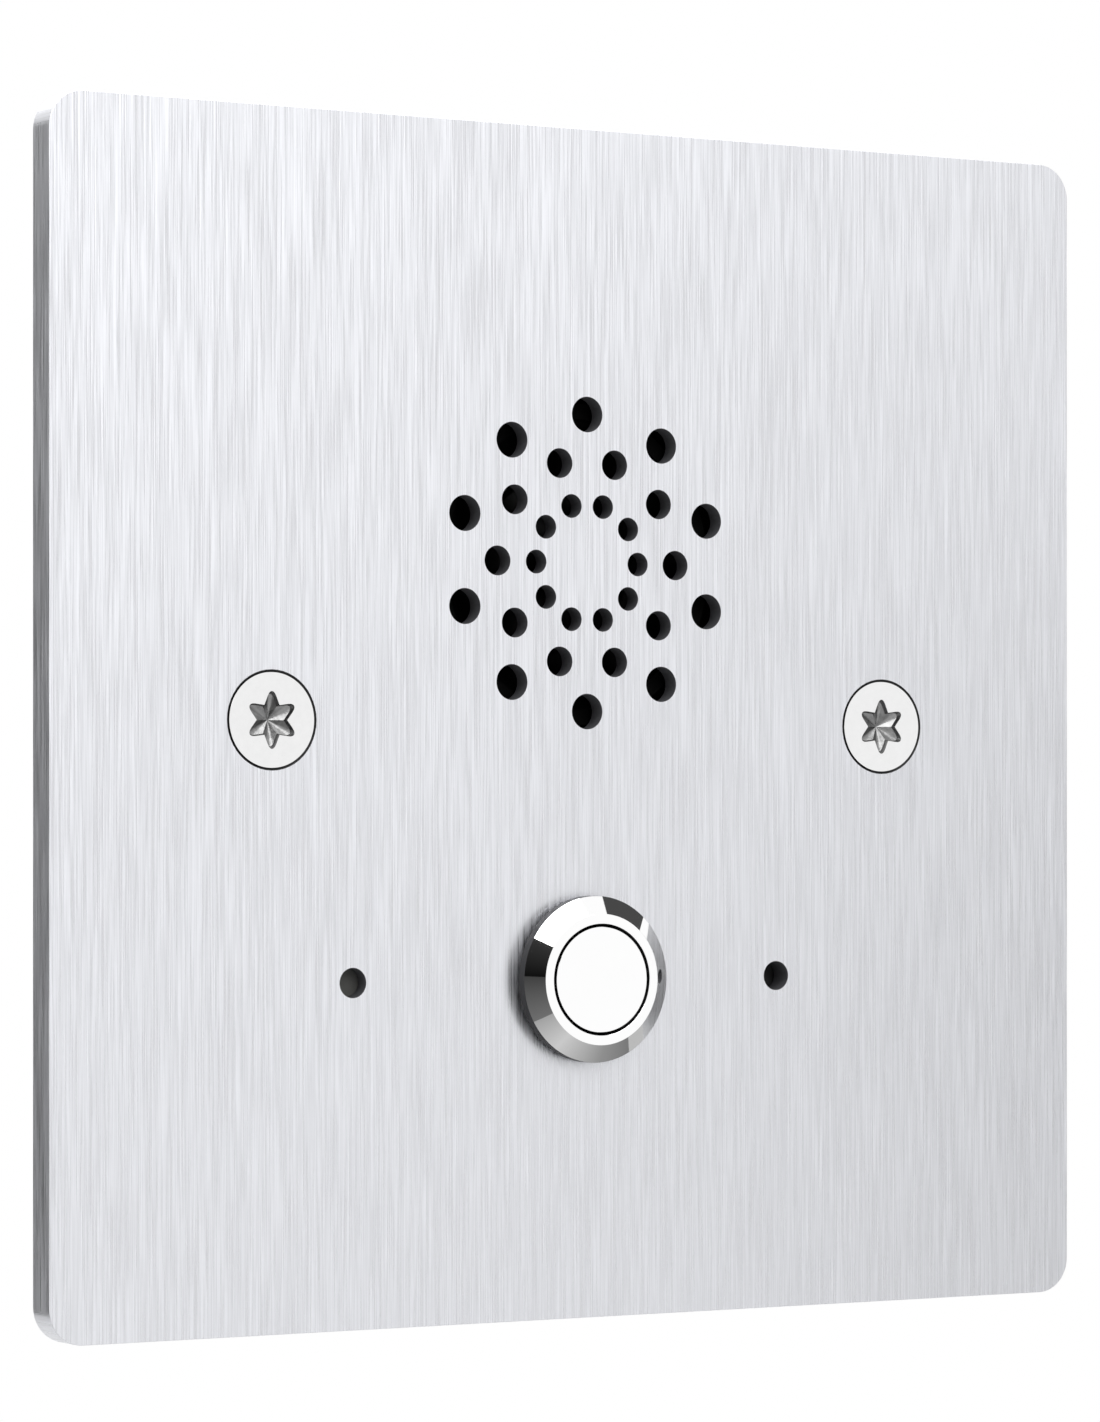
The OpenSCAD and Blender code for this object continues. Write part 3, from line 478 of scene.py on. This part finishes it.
def applyModifier(piece, kind, **settings):
    onlySelect(piece)
    modifier = piece.modifiers.new(kind.lower(), kind)
    for key, value in settings.items():
        setattr(modifier, key, value)
    bpy.ops.object.modifier_apply(modifier=modifier.name)


def selectEdges(piece, wanted):
    # in edit mode, edges are picked by the places of their two ends
    bpy.ops.mesh.select_mode(type="EDGE")
    bpy.ops.mesh.select_all(action="DESELECT")
    bpy.ops.object.mode_set(mode="OBJECT")
    points = piece.data.vertices
    for edge in piece.data.edges:
        edge.select = wanted(points[edge.vertices[0]].co, points[edge.vertices[1]].co)
    bpy.ops.object.mode_set(mode="EDIT")


def selectPoints(piece, wanted):
    # in edit mode, vertices are picked by their place
    bpy.ops.mesh.select_mode(type="VERT")
    bpy.ops.mesh.select_all(action="DESELECT")
    bpy.ops.object.mode_set(mode="OBJECT")
    for vertex in piece.data.vertices:
        vertex.select = wanted(vertex.co)
    bpy.ops.object.mode_set(mode="EDIT")


def drawOutline(name, outline):
    # outline points are (radius, depth) in metres; one vertex is drawn along them in the XY plane
    piece = startPiece(bpy.ops.mesh.primitive_plane_add, name, size=mm)
    bpy.ops.object.mode_set(mode="EDIT")
    bpy.ops.mesh.select_mode(type="VERT")
    bpy.ops.mesh.merge(type="CENTER")
    bpy.ops.transform.translate(value=(outline[0][0], outline[0][1], 0))
    for here, there in zip(outline, outline[1:]):
        step = (there[0] - here[0], there[1] - here[1], 0)
        bpy.ops.mesh.extrude_vertices_move(TRANSFORM_OT_translate={"value": step})
    bpy.ops.mesh.select_all(action="SELECT")
    bpy.ops.mesh.remove_doubles(threshold=mergeGap)
    return piece


def boxPiece(name, size, centre):
    # left in edit mode with all of it selected
    piece = startPiece(bpy.ops.mesh.primitive_cube_add, name, size=1)
    bpy.ops.object.mode_set(mode="EDIT")
    bpy.ops.transform.resize(value=size)
    bpy.ops.transform.translate(value=centre)
    return piece


def closeMesh():
    # in edit mode: merge what meets, close open ends, turn all faces outwards
    bpy.ops.mesh.select_all(action="SELECT")
    bpy.ops.mesh.remove_doubles(threshold=mergeGap)
    bpy.ops.mesh.fill_holes(sides=0)
    bpy.ops.mesh.select_all(action="SELECT")
    bpy.ops.mesh.normals_make_consistent(inside=False)


def turnedPiece(name, outline, x=0.0, z=0.0, steps=96):
    piece = drawOutline(name, outline)
    bpy.ops.mesh.spin(steps=steps, angle=math.tau, center=(0, 0, 0), axis=(0, 1, 0))
    closeMesh()
    bpy.ops.transform.translate(value=(x, 0, z))
    bpy.ops.object.mode_set(mode="OBJECT")
    return piece


def windPiece(piece, turns, rise, stepsPerTurn, x=0.0, z=0.0):
    # an outline drawn beside the Y axis is wound round it while it moves along it
    bpy.ops.object.mode_set(mode="OBJECT")
    steps = round(turns * stepsPerTurn)
    applyModifier(piece, "SCREW", axis="Y", angle=turns * math.tau, screw_offset=rise, steps=steps,
                  render_steps=steps, use_smooth_shade=False)
    bpy.ops.object.mode_set(mode="EDIT")
    closeMesh()
    bpy.ops.transform.translate(value=(x, 0, z))
    bpy.ops.object.mode_set(mode="OBJECT")
    return piece


# a thread's ridge: how deep it sits in the core, and its crest and its end as shares of the pitch
threadShape = dict(sunk=0.04 * mm, crestStart=0.42, crestEnd=0.52, ridgeEnd=0.94, stepsPerTurn=24)


def threadRidge(root, crest, pitch, start, end, x=0.0, z=0.0):
    under = root - threadShape["sunk"]
    outline = [(under, start), (crest, start + threadShape["crestStart"] * pitch),
               (crest, start + threadShape["crestEnd"] * pitch),
               (under, start + threadShape["ridgeEnd"] * pitch), (under, start)]
    ridge = drawOutline("threadRidge", outline)
    turns = (end - start) / pitch - 1
    return windPiece(ridge, turns, turns * pitch, threadShape["stepsPerTurn"], x, z)


def joinPieces(pieces):
    bpy.ops.object.select_all(action="DESELECT")
    for piece in pieces:
        piece.select_set(True)
    bpy.context.view_layer.objects.active = pieces[0]
    bpy.ops.object.join()
    return pieces[0]


def combine(piece, tool, operation):
    applyModifier(piece, "BOOLEAN", operation=operation, object=tool, solver="EXACT")
    bpy.data.objects.remove(tool)


def copyPiece(piece, name, x=0.0, z=0.0):
    # a copy with its own mesh, moved sideways in edit mode so that its object stays at the origin
    onlySelect(piece)
    bpy.ops.object.duplicate()
    twin = bpy.context.object
    twin.name = name
    bpy.ops.object.mode_set(mode="EDIT")
    bpy.ops.mesh.select_all(action="SELECT")
    bpy.ops.transform.translate(value=(x, 0, z))
    bpy.ops.object.mode_set(mode="OBJECT")
    return twin


def finishPiece(piece, body, slot, *replaced, smoothAngle=30, faceted=None):
    onlySelect(piece)
    bpy.ops.object.shade_smooth_by_angle(angle=math.radians(smoothAngle))
    if faceted is not None:  # faces of this material stay flat
        for face in piece.data.polygons:
            if face.material_index == faceted:
                face.use_smooth = False
    # keeps flat faces flat beside a small bevel
    applyModifier(piece, "WEIGHTED_NORMAL", keep_sharp=True, weight=100)
    if body:  # a piece that bends between two bodies rides on neither
        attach(piece, body)
    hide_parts(*replaced)


# front panel: a sheet with rounded corners, drilled for the speaker, button, screws and two small holes
panel = dict(
    cornerRadius=3 * mm, cornerSteps=12, edgeBreak=0.05 * mm, edgeSteps=2,
    backNormal=0.99,  # faces turned this far to the wall keep the mill finish
    ringDiameters=(10 * mm, 17.5 * mm, 25 * mm), ringHoles=(2 * mm, 2.5 * mm, 3 * mm), ringTurns=(0, 0, 18),
    holesPerRing=10, sideHole=2.5 * mm, barrelHole=12.2 * mm,
    sinkRadius=4.12 * mm, screwHoleRadius=2.2 * mm,
    pocketRadius=18.3 * mm, pocketFloor=-2.3 * mm, bootRadius=3.5 * mm, bootFloor=-1.8 * mm,
    postRadius=2.5 * mm, clinchRadius=2.12 * mm, clinchFloor=-2.4 * mm,
    clampHole=1.27 * mm, clampFloor=-3.0 * mm, clampRing=20.6 * mm, clampAngles=(-14.6, 194.6, 300),
    past=0.5 * mm, holeSteps=48,
)


def makePanel():
    low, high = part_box("front_plate")
    piece = boxPiece("frontPanel", high - low, (low + high) / 2)
    selectEdges(piece, lambda a, b: abs(a.y - b.y) > mergeGap)
    bpy.ops.mesh.bevel(offset=panel["cornerRadius"], segments=panel["cornerSteps"], affect="EDGES")
    selectEdges(piece, lambda a, b: abs(a.y - b.y) < mergeGap)
    bpy.ops.mesh.bevel(offset=panel["edgeBreak"], segments=panel["edgeSteps"], affect="EDGES")
    bpy.ops.object.mode_set(mode="OBJECT")
    setMaterials(piece, "brushedStainlessSteel", "millFinishSteel", "paintedShadeHoleWall", "paintedShadeGap")
    for face in piece.data.polygons:
        face.material_index = int(face.normal.y > panel["backNormal"])

    front, back = low.y - panel["past"], high.y + panel["past"]
    speaker, button = middle("speaker_yoke"), middle("button_cap")
    light, ear = middle("light_pipe"), middle("microphone")
    screwLow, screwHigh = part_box("wall_screws")
    headRadius = screwHigh.z  # both screws stand at z = 0

    def drill(x, z, radius, start=front):
        outline = [(0, start), (radius, start), (radius, back), (0, back)]
        return turnedPiece("drill", outline, x, z, panel["holeSteps"])

    def roundSpeaker(radius, degrees):
        angle = math.radians(degrees)
        return speaker.x + radius * math.cos(angle), speaker.z + radius * math.sin(angle)

    through = [drill(light.x, light.z, panel["sideHole"] / 2), drill(ear.x, ear.z, panel["sideHole"] / 2),
               drill(button.x, button.z, panel["barrelHole"] / 2)]
    for diameter, hole, turn in zip(panel["ringDiameters"], panel["ringHoles"], panel["ringTurns"]):
        for i in range(panel["holesPerRing"]):
            x, z = roundSpeaker(diameter / 2, turn + 360 * i / panel["holesPerRing"])
            through.append(drill(x, z, hole / 2))
    sink, narrow = panel["sinkRadius"], panel["screwHoleRadius"]
    sinkOutline = [(0, front), (sink, front), (sink, low.y), (narrow, low.y + sink - narrow),
                   (narrow, back), (0, back)]
    sinks = [turnedPiece("drill", sinkOutline, x, 0, panel["holeSteps"])
             for x in (screwLow.x + headRadius, screwHigh.x - headRadius)]
    pockets = [drill(speaker.x, speaker.z, panel["pocketRadius"], panel["pocketFloor"]),
               drill(ear.x, ear.z, panel["bootRadius"], panel["bootFloor"])]
    for degrees in panel["clampAngles"]:
        x, z = roundSpeaker(panel["clampRing"], degrees)
        pockets.append(drill(x, z, panel["clampHole"], panel["clampFloor"]))
    postLow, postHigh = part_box("standoffs")
    post = panel["postRadius"]
    for x in (postLow.x + post, postHigh.x - post):
        for z in (postLow.z + post, postHigh.z - post):
            pockets.append(drill(x, z, panel["clinchRadius"], panel["clinchFloor"]))
    # the through holes' walls and the screw sinks wear painted shade; the pockets keep the mill finish
    for group, wall in ((through, "paintedShadeHoleWall"), (sinks, "paintedShadeGap"), (pockets, "millFinishSteel")):
        cutter = joinPieces(group)
        setMaterials(cutter, wall)
        combine(piece, cutter, "DIFFERENCE")
    finishPiece(piece, "panel", "stainless", "front_plate")


makePanel()
print("front panel drilled")


# wall screws: countersunk heads with a star recess, and a machine thread that reaches into the wall box
wallScrew = dict(
    headRadius=3.9 * mm, land=0.15 * mm, edgeBreak=0.01 * mm, neckRadius=1.75 * mm,
    threadBehindPlate=0.1 * mm, root=1.62 * mm, crest=2.0 * mm, pitch=0.7 * mm, tipBevel=0.6 * mm,
    lobes=6, starRadius=2.95 * mm, starWaist=0.481, starTip=1.04 * mm, tipSteps=6,
    wallDepth=0.4 * mm, wallTaper=0.9, starDepth=0.85 * mm, proud=0.05 * mm,
)


def starPunch(x, front):
    punch = startPiece(bpy.ops.mesh.primitive_circle_add, "starPunch", vertices=2 * wallScrew["lobes"],
                       radius=wallScrew["starRadius"], fill_type="NGON", rotation=(math.radians(90), 0, 0))
    bpy.ops.object.transform_apply(rotation=True)
    bpy.ops.object.mode_set(mode="EDIT")

    def atWaist(point):  # lobes and waists take turns, and one lobe points straight up
        return round(math.atan2(point.x, point.z) / math.pi * wallScrew["lobes"]) % 2 == 1

    selectPoints(punch, atWaist)
    bpy.ops.transform.resize(value=(wallScrew["starWaist"],) * 3)
    selectPoints(punch, lambda point: not atWaist(point))
    bpy.ops.mesh.bevel(offset=wallScrew["starTip"], segments=wallScrew["tipSteps"], affect="VERTICES")
    bpy.ops.mesh.select_all(action="SELECT")
    bpy.ops.transform.translate(value=(0, front - wallScrew["proud"], 0))
    bpy.ops.mesh.extrude_region_move(
        TRANSFORM_OT_translate={"value": (0, wallScrew["wallDepth"] + wallScrew["proud"], 0)})
    bpy.ops.transform.resize(value=(wallScrew["wallTaper"], 1, wallScrew["wallTaper"]))
    bpy.ops.mesh.extrude_region_move(
        TRANSFORM_OT_translate={"value": (0, wallScrew["starDepth"] - wallScrew["wallDepth"], 0)})
    bpy.ops.mesh.merge(type="CENTER")
    closeMesh()
    bpy.ops.transform.translate(value=(x, 0, 0))
    bpy.ops.object.mode_set(mode="OBJECT")
    # the recess wears a darker grey, partly painted shade
    setMaterials(punch, "shadedPunchedRecess")
    return punch


def makeWallScrews():
    low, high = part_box("wall_screws")
    head, neck, soft = wallScrew["headRadius"], wallScrew["neckRadius"], wallScrew["edgeBreak"]
    left, right = low.x + head, high.x - head
    cone = low.y + wallScrew["land"] + head - neck
    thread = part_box("front_plate")[1].y + wallScrew["threadBehindPlate"]
    root, bevel = wallScrew["root"], wallScrew["tipBevel"]
    outline = [(0, low.y), (head - soft, low.y), (head, low.y + soft), (head, low.y + wallScrew["land"]),
               (neck, cone), (neck, thread), (root, thread + neck - root), (root, high.y - bevel),
               (root - bevel, high.y), (0, high.y)]
    piece = turnedPiece("wallScrewLeft", outline, left)
    setMaterials(piece, "polishedScrewSteel", "shadedPunchedRecess")
    ridge = threadRidge(root, wallScrew["crest"], wallScrew["pitch"], thread, high.y - bevel, left)
    setMaterials(ridge, "polishedScrewSteel")
    combine(piece, ridge, "UNION")
    combine(piece, starPunch(left, low.y), "DIFFERENCE")
    for screw in (piece, copyPiece(piece, "wallScrewRight", right - left)):
        finishPiece(screw, "panel", "polished_steel", "wall_screws", faceted=1)


makeWallScrews()
print("wall screws threaded")


# push button: a turned head with a wide bevel on a threaded barrel, and a flat cap that slides in it
pushButton = dict(
    flatRadius=5.5 * mm, bevelHeight=1.0 * mm, headRadius=7 * mm, rimHeight=0.9 * mm,
    barrelRoot=5.68 * mm, barrelCrest=6 * mm, barrelPitch=0.75 * mm, reliefLength=0.6 * mm,
    bareEnd=0.3 * mm, boreRadius=4.69 * mm, guideRadius=3.08 * mm,
    guideFront=-2.8 * mm, guideBack=-0.2 * mm, rearBore=4.55 * mm,
    capEdge=0.02 * mm, spigotRadius=1.52 * mm, spigotLength=1.22 * mm,
    edgeRadius=0.015 * mm, edgeSteps=2, edgeAngle=25, turnSteps=128,
    rimNormal=0.78,  # faces of the flange that look forward less than this are its side, which wears painted shade
    crispAngle=10,  # mirror faces meet at crisp lines
)


def makeButton():
    low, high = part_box("button_body")
    centre = middle("button_body")
    face = low.y
    rim = face + pushButton["bevelHeight"]
    headBack = rim + pushButton["rimHeight"]
    bore, guide, rear = pushButton["boreRadius"], pushButton["guideRadius"], pushButton["rearBore"]
    root, crest, edge = pushButton["barrelRoot"], pushButton["barrelCrest"], pushButton["edgeRadius"]
    relief = headBack + pushButton["reliefLength"]
    guideFront, guideBack = pushButton["guideFront"], pushButton["guideBack"]
    outline = [(bore, face), (pushButton["flatRadius"], face), (pushButton["headRadius"], rim),
               (pushButton["headRadius"], headBack), (crest, headBack), (crest, relief),
               (root, relief + crest - root), (root, high.y), (rear, high.y), (rear, guideBack),
               (guide, guideBack), (guide, guideFront), (bore, guideFront), (bore, face)]
    body = turnedPiece("buttonHead", outline, centre.x, centre.z, pushButton["turnSteps"])
    applyModifier(body, "BEVEL", width=edge, segments=pushButton["edgeSteps"], limit_method="ANGLE",
                  angle_limit=math.radians(pushButton["edgeAngle"]))
    ridge = threadRidge(root, crest, pushButton["barrelPitch"], relief, high.y - pushButton["bareEnd"],
                        centre.x, centre.z)
    combine(body, ridge, "UNION")
    # the flange side and the bore wear painted shade: dark grey under the bevel, near black round the cap
    setMaterials(body, "chromePlate", "paintedShadeFlangeSide", "paintedShadeGap")
    for facet in body.data.polygons:
        reach = math.hypot(facet.center.x - centre.x, facet.center.z - centre.z)
        atRim = reach > pushButton["headRadius"] - 2 * edge
        onSide = atRim and abs(facet.normal.y) < pushButton["rimNormal"]
        inBore = reach < bore and facet.center.y > face + edge
        facet.material_index = 1 if onSide else 2 if inBore else 0
    finishPiece(body, "panel", "chrome", "button_body", smoothAngle=pushButton["crispAngle"])

    low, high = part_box("button_cap")
    radius = (high.x - low.x) / 2
    soft, spigot = pushButton["capEdge"], pushButton["spigotRadius"]
    hollow = high.y - pushButton["spigotLength"]
    outline = [(0, low.y), (radius - soft, low.y), (radius, low.y + soft), (radius, high.y),
               (spigot, high.y), (spigot, hollow), (0, hollow)]
    cap = turnedPiece("buttonCap", outline, centre.x, centre.z, pushButton["turnSteps"])
    setMaterials(cap, "chromePlate")
    finishPiece(cap, "button", "chrome", "button_cap")


makeButton()
print("push button turned")


# return spring inside the barrel: round wire, wound at its length in the frame; nothing here shortens it when
# the cap goes in
returnSpring = dict(wire=0.25 * mm, turns=4.5, wireSides=12, stepsPerTurn=40, travel=1.5 * mm, smoothAngle=60)


def makeSpring():
    low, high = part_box("button_spring")
    centre = middle("button_body")
    wire = returnSpring["wire"]
    radius = high.z - centre.z - wire
    piece = startPiece(bpy.ops.mesh.primitive_circle_add, "returnSpring", vertices=returnSpring["wireSides"],
                       radius=wire, location=(radius, low.y + wire, 0))
    bpy.ops.object.transform_apply(location=True)
    rise = high.y - low.y - 2 * wire
    windPiece(piece, returnSpring["turns"], rise, returnSpring["stepsPerTurn"], 0, centre.z)
    setMaterials(piece, "springWire")
    finishPiece(piece, "panel", "spring_steel", "button_spring", smoothAngle=returnSpring["smoothAngle"])
    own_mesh(piece)


makeSpring()
print("return spring wound")


# foam: four strips behind the panel and a ring in front of the speaker, cut from sheet with soft edges
foam = dict(
    stripWidth=6 * mm, sideGap=0.3 * mm, stripRadius=0.28 * mm, stripSteps=4,
    ringWidth=2.2 * mm, ringRadius=0.15 * mm, ringSteps=3,
    smoothAngle=60, fill=0.9,
)


def foamStrip(name, x, z, width, height):
    low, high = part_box("wall_seal")
    piece = boxPiece(name, (width, high.y - low.y, height), (x, (low.y + high.y) / 2, z))
    bpy.ops.mesh.bevel(offset=foam["stripRadius"], segments=foam["stripSteps"], affect="EDGES")
    bpy.ops.object.mode_set(mode="OBJECT")
    setMaterials(piece, "epdmFoam")
    finishPiece(piece, "panel", "foam", "wall_seal", smoothAngle=foam["smoothAngle"])


def makeFoam():
    low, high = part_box("wall_seal")
    wide = foam["stripWidth"]
    across = high.x - low.x
    for name, z in (("foamStripTop", high.z - wide / 2), ("foamStripBottom", low.z + wide / 2)):
        foamStrip(name, 0, z, across, wide)
    for name, x in (("foamStripLeft", low.x + wide / 2), ("foamStripRight", high.x - wide / 2)):
        foamStrip(name, x, 0, wide, across - 2 * wide - foam["sideGap"])

    low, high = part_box("speaker_gasket")
    outer = (high.x - low.x) / 2
    inner = outer - foam["ringWidth"]
    outline = [(inner, low.y), (outer, low.y), (outer, high.y), (inner, high.y), (inner, low.y)]
    ring = turnedPiece("speakerGasket", outline, (low.x + high.x) / 2, (low.z + high.z) / 2)
    applyModifier(ring, "BEVEL", width=foam["ringRadius"], segments=foam["ringSteps"], limit_method="ANGLE")
    setMaterials(ring, "epdmFoam")
    finishPiece(ring, "panel", "foam", "speaker_gasket", smoothAngle=foam["smoothAngle"])


makeFoam()
print("foam strips laid")


# speaker surround: a half roll of thin rubber, parted at its crest; one half holds on to the basket and
# the other to the cone
surround = dict(
    lip=0.2 * mm, skin=0.1 * mm, outerLip=2.1 * mm, innerLip=1.2 * mm,
    arcSteps=12, smoothAngle=40,
)


def makeSurround():
    low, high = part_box("speaker_surround")
    x, z = (low.x + high.x) / 2, (low.z + high.z) / 2
    seat = low.y + surround["lip"]
    roll = high.y - seat
    inside = roll - surround["skin"]
    outer = (high.x - low.x) / 2
    crest = outer - surround["outerLip"] - roll
    inner = crest - roll - surround["innerLip"]
    turns = [math.pi / 2 * i / surround["arcSteps"] for i in range(surround["arcSteps"] + 1)]
    for name, edge, side, bodies in (("surroundOuter", outer, 1, ("panel", "cone")),
                                     ("surroundInner", inner, -1, ("cone", "panel"))):
        outline = [(edge, low.y), (edge, seat)]
        for radius, arc in ((roll, turns), (inside, reversed(turns))):
            outline += [(crest + side * radius * math.cos(a), seat + radius * math.sin(a)) for a in arc]
        outline += [(crest + side * inside, low.y), (edge, low.y)]
        piece = turnedPiece(name, outline, x, z)
        setMaterials(piece, "rollRubber")
        finishPiece(piece, None, "rubber", "speaker_surround", smoothAngle=surround["smoothAngle"])
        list(bodies)
        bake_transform(piece)


makeSurround()
print("speaker surround rolled")


# rear cover and what shows in its windows: moulded shapes with softly broken edges
moulded = dict(
    rearCover=dict(node="rear_cover", edge=0.2 * mm, slot="abs_black"),
    networkSocket=dict(node="network_socket", edge=0.12 * mm, slot="nylon_black"),
    terminalPlug=dict(node="terminal_block", edge=0.15 * mm, slot="terminal_green"),
    terminalHeader=dict(node="terminal_header", edge=0.1 * mm, slot="terminal_green"),
)
mouldEdge = dict(flatAngle=0.5, sharpAngle=35, steps=2)


def makeMoulding(name, node, edge, slot):
    # the frame's own shape, merged from loose triangles, with every sharp edge broken
    piece = bpy.data.objects.new(name, nodes[node].data.copy())
    scene.collection.objects.link(piece)
    onlySelect(piece)
    bpy.ops.mesh.customdata_custom_splitnormals_clear()
    bpy.ops.object.mode_set(mode="EDIT")
    bpy.ops.mesh.select_all(action="SELECT")
    bpy.ops.mesh.remove_doubles(threshold=mergeGap)
    bpy.ops.mesh.dissolve_limited(angle_limit=math.radians(mouldEdge["flatAngle"]))
    bpy.ops.object.mode_set(mode="OBJECT")
    applyModifier(piece, "BEVEL", width=edge, segments=mouldEdge["steps"], limit_method="ANGLE",
                  angle_limit=math.radians(mouldEdge["sharpAngle"]))
    finishPiece(piece, "panel", slot, node, smoothAngle=mouldEdge["sharpAngle"])


for name, shape in moulded.items():
    makeMoulding(name, **shape)
print("mouldings softened:", len(moulded))


# cover screws: pan heads with a cross recess, threaded into the standoffs
coverScrew = dict(
    headRadius=2.75 * mm, headHeight=2.0 * mm, headLand=0.45 * mm, domeSteps=8, domePower=0.65, turnSteps=64,
    root=1.22 * mm, crest=1.5 * mm, pitch=0.5 * mm, tipBevel=0.4 * mm, threadLength=9 * mm,
    crossWidth=3.3 * mm, crossArm=0.75 * mm, crossDepth=1.25 * mm, crossTaper=0.55,
)


def crossPunch(width, height, x, top, z):
    # one arm of the cross, narrower at its floor
    depth = coverScrew["crossDepth"]
    arm = boxPiece("crossPunch", (width, 2 * depth, height), (0, 0, 0))
    selectPoints(arm, lambda point: point.y < 0)
    bpy.ops.transform.resize(value=(coverScrew["crossTaper"], 1, coverScrew["crossTaper"]))
    bpy.ops.mesh.select_all(action="SELECT")
    bpy.ops.transform.translate(value=(x, top, z))
    bpy.ops.object.mode_set(mode="OBJECT")
    return arm


def makeCoverScrews():
    low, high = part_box("cover_screws")
    head, root = coverScrew["headRadius"], coverScrew["root"]
    seat = high.y - coverScrew["headHeight"]
    shoulder = seat + coverScrew["headLand"]
    x, z = low.x + head, low.z + head
    outline = [(0, low.y), (root - coverScrew["tipBevel"], low.y), (root, low.y + coverScrew["tipBevel"]),
               (root, seat), (head, seat)]
    for i in range(coverScrew["domeSteps"] + 1):
        turn = math.pi / 2 * i / coverScrew["domeSteps"]
        outline.append((head * math.cos(turn) ** coverScrew["domePower"],
                        shoulder + (high.y - shoulder) * math.sin(turn) ** coverScrew["domePower"]))
    piece = turnedPiece("coverScrew1", outline, x, z, coverScrew["turnSteps"])
    ridge = threadRidge(root, coverScrew["crest"], coverScrew["pitch"], low.y + coverScrew["tipBevel"],
                        low.y + coverScrew["threadLength"], x, z)
    combine(piece, ridge, "UNION")
    wide, thin = coverScrew["crossWidth"], coverScrew["crossArm"]
    for width, height in ((wide, thin), (thin, wide)):
        combine(piece, crossPunch(width, height, x, high.y, z), "DIFFERENCE")
    setMaterials(piece, "zincPlate")
    across, upward = high.x - low.x - 2 * head, high.z - low.z - 2 * head
    screws = [piece, copyPiece(piece, "coverScrew2", across), copyPiece(piece, "coverScrew3", 0, upward),
              copyPiece(piece, "coverScrew4", across, upward)]
    for screw in screws:
        finishPiece(screw, "panel", "zinc_steel", "cover_screws")


makeCoverScrews()
print("cover screws threaded")
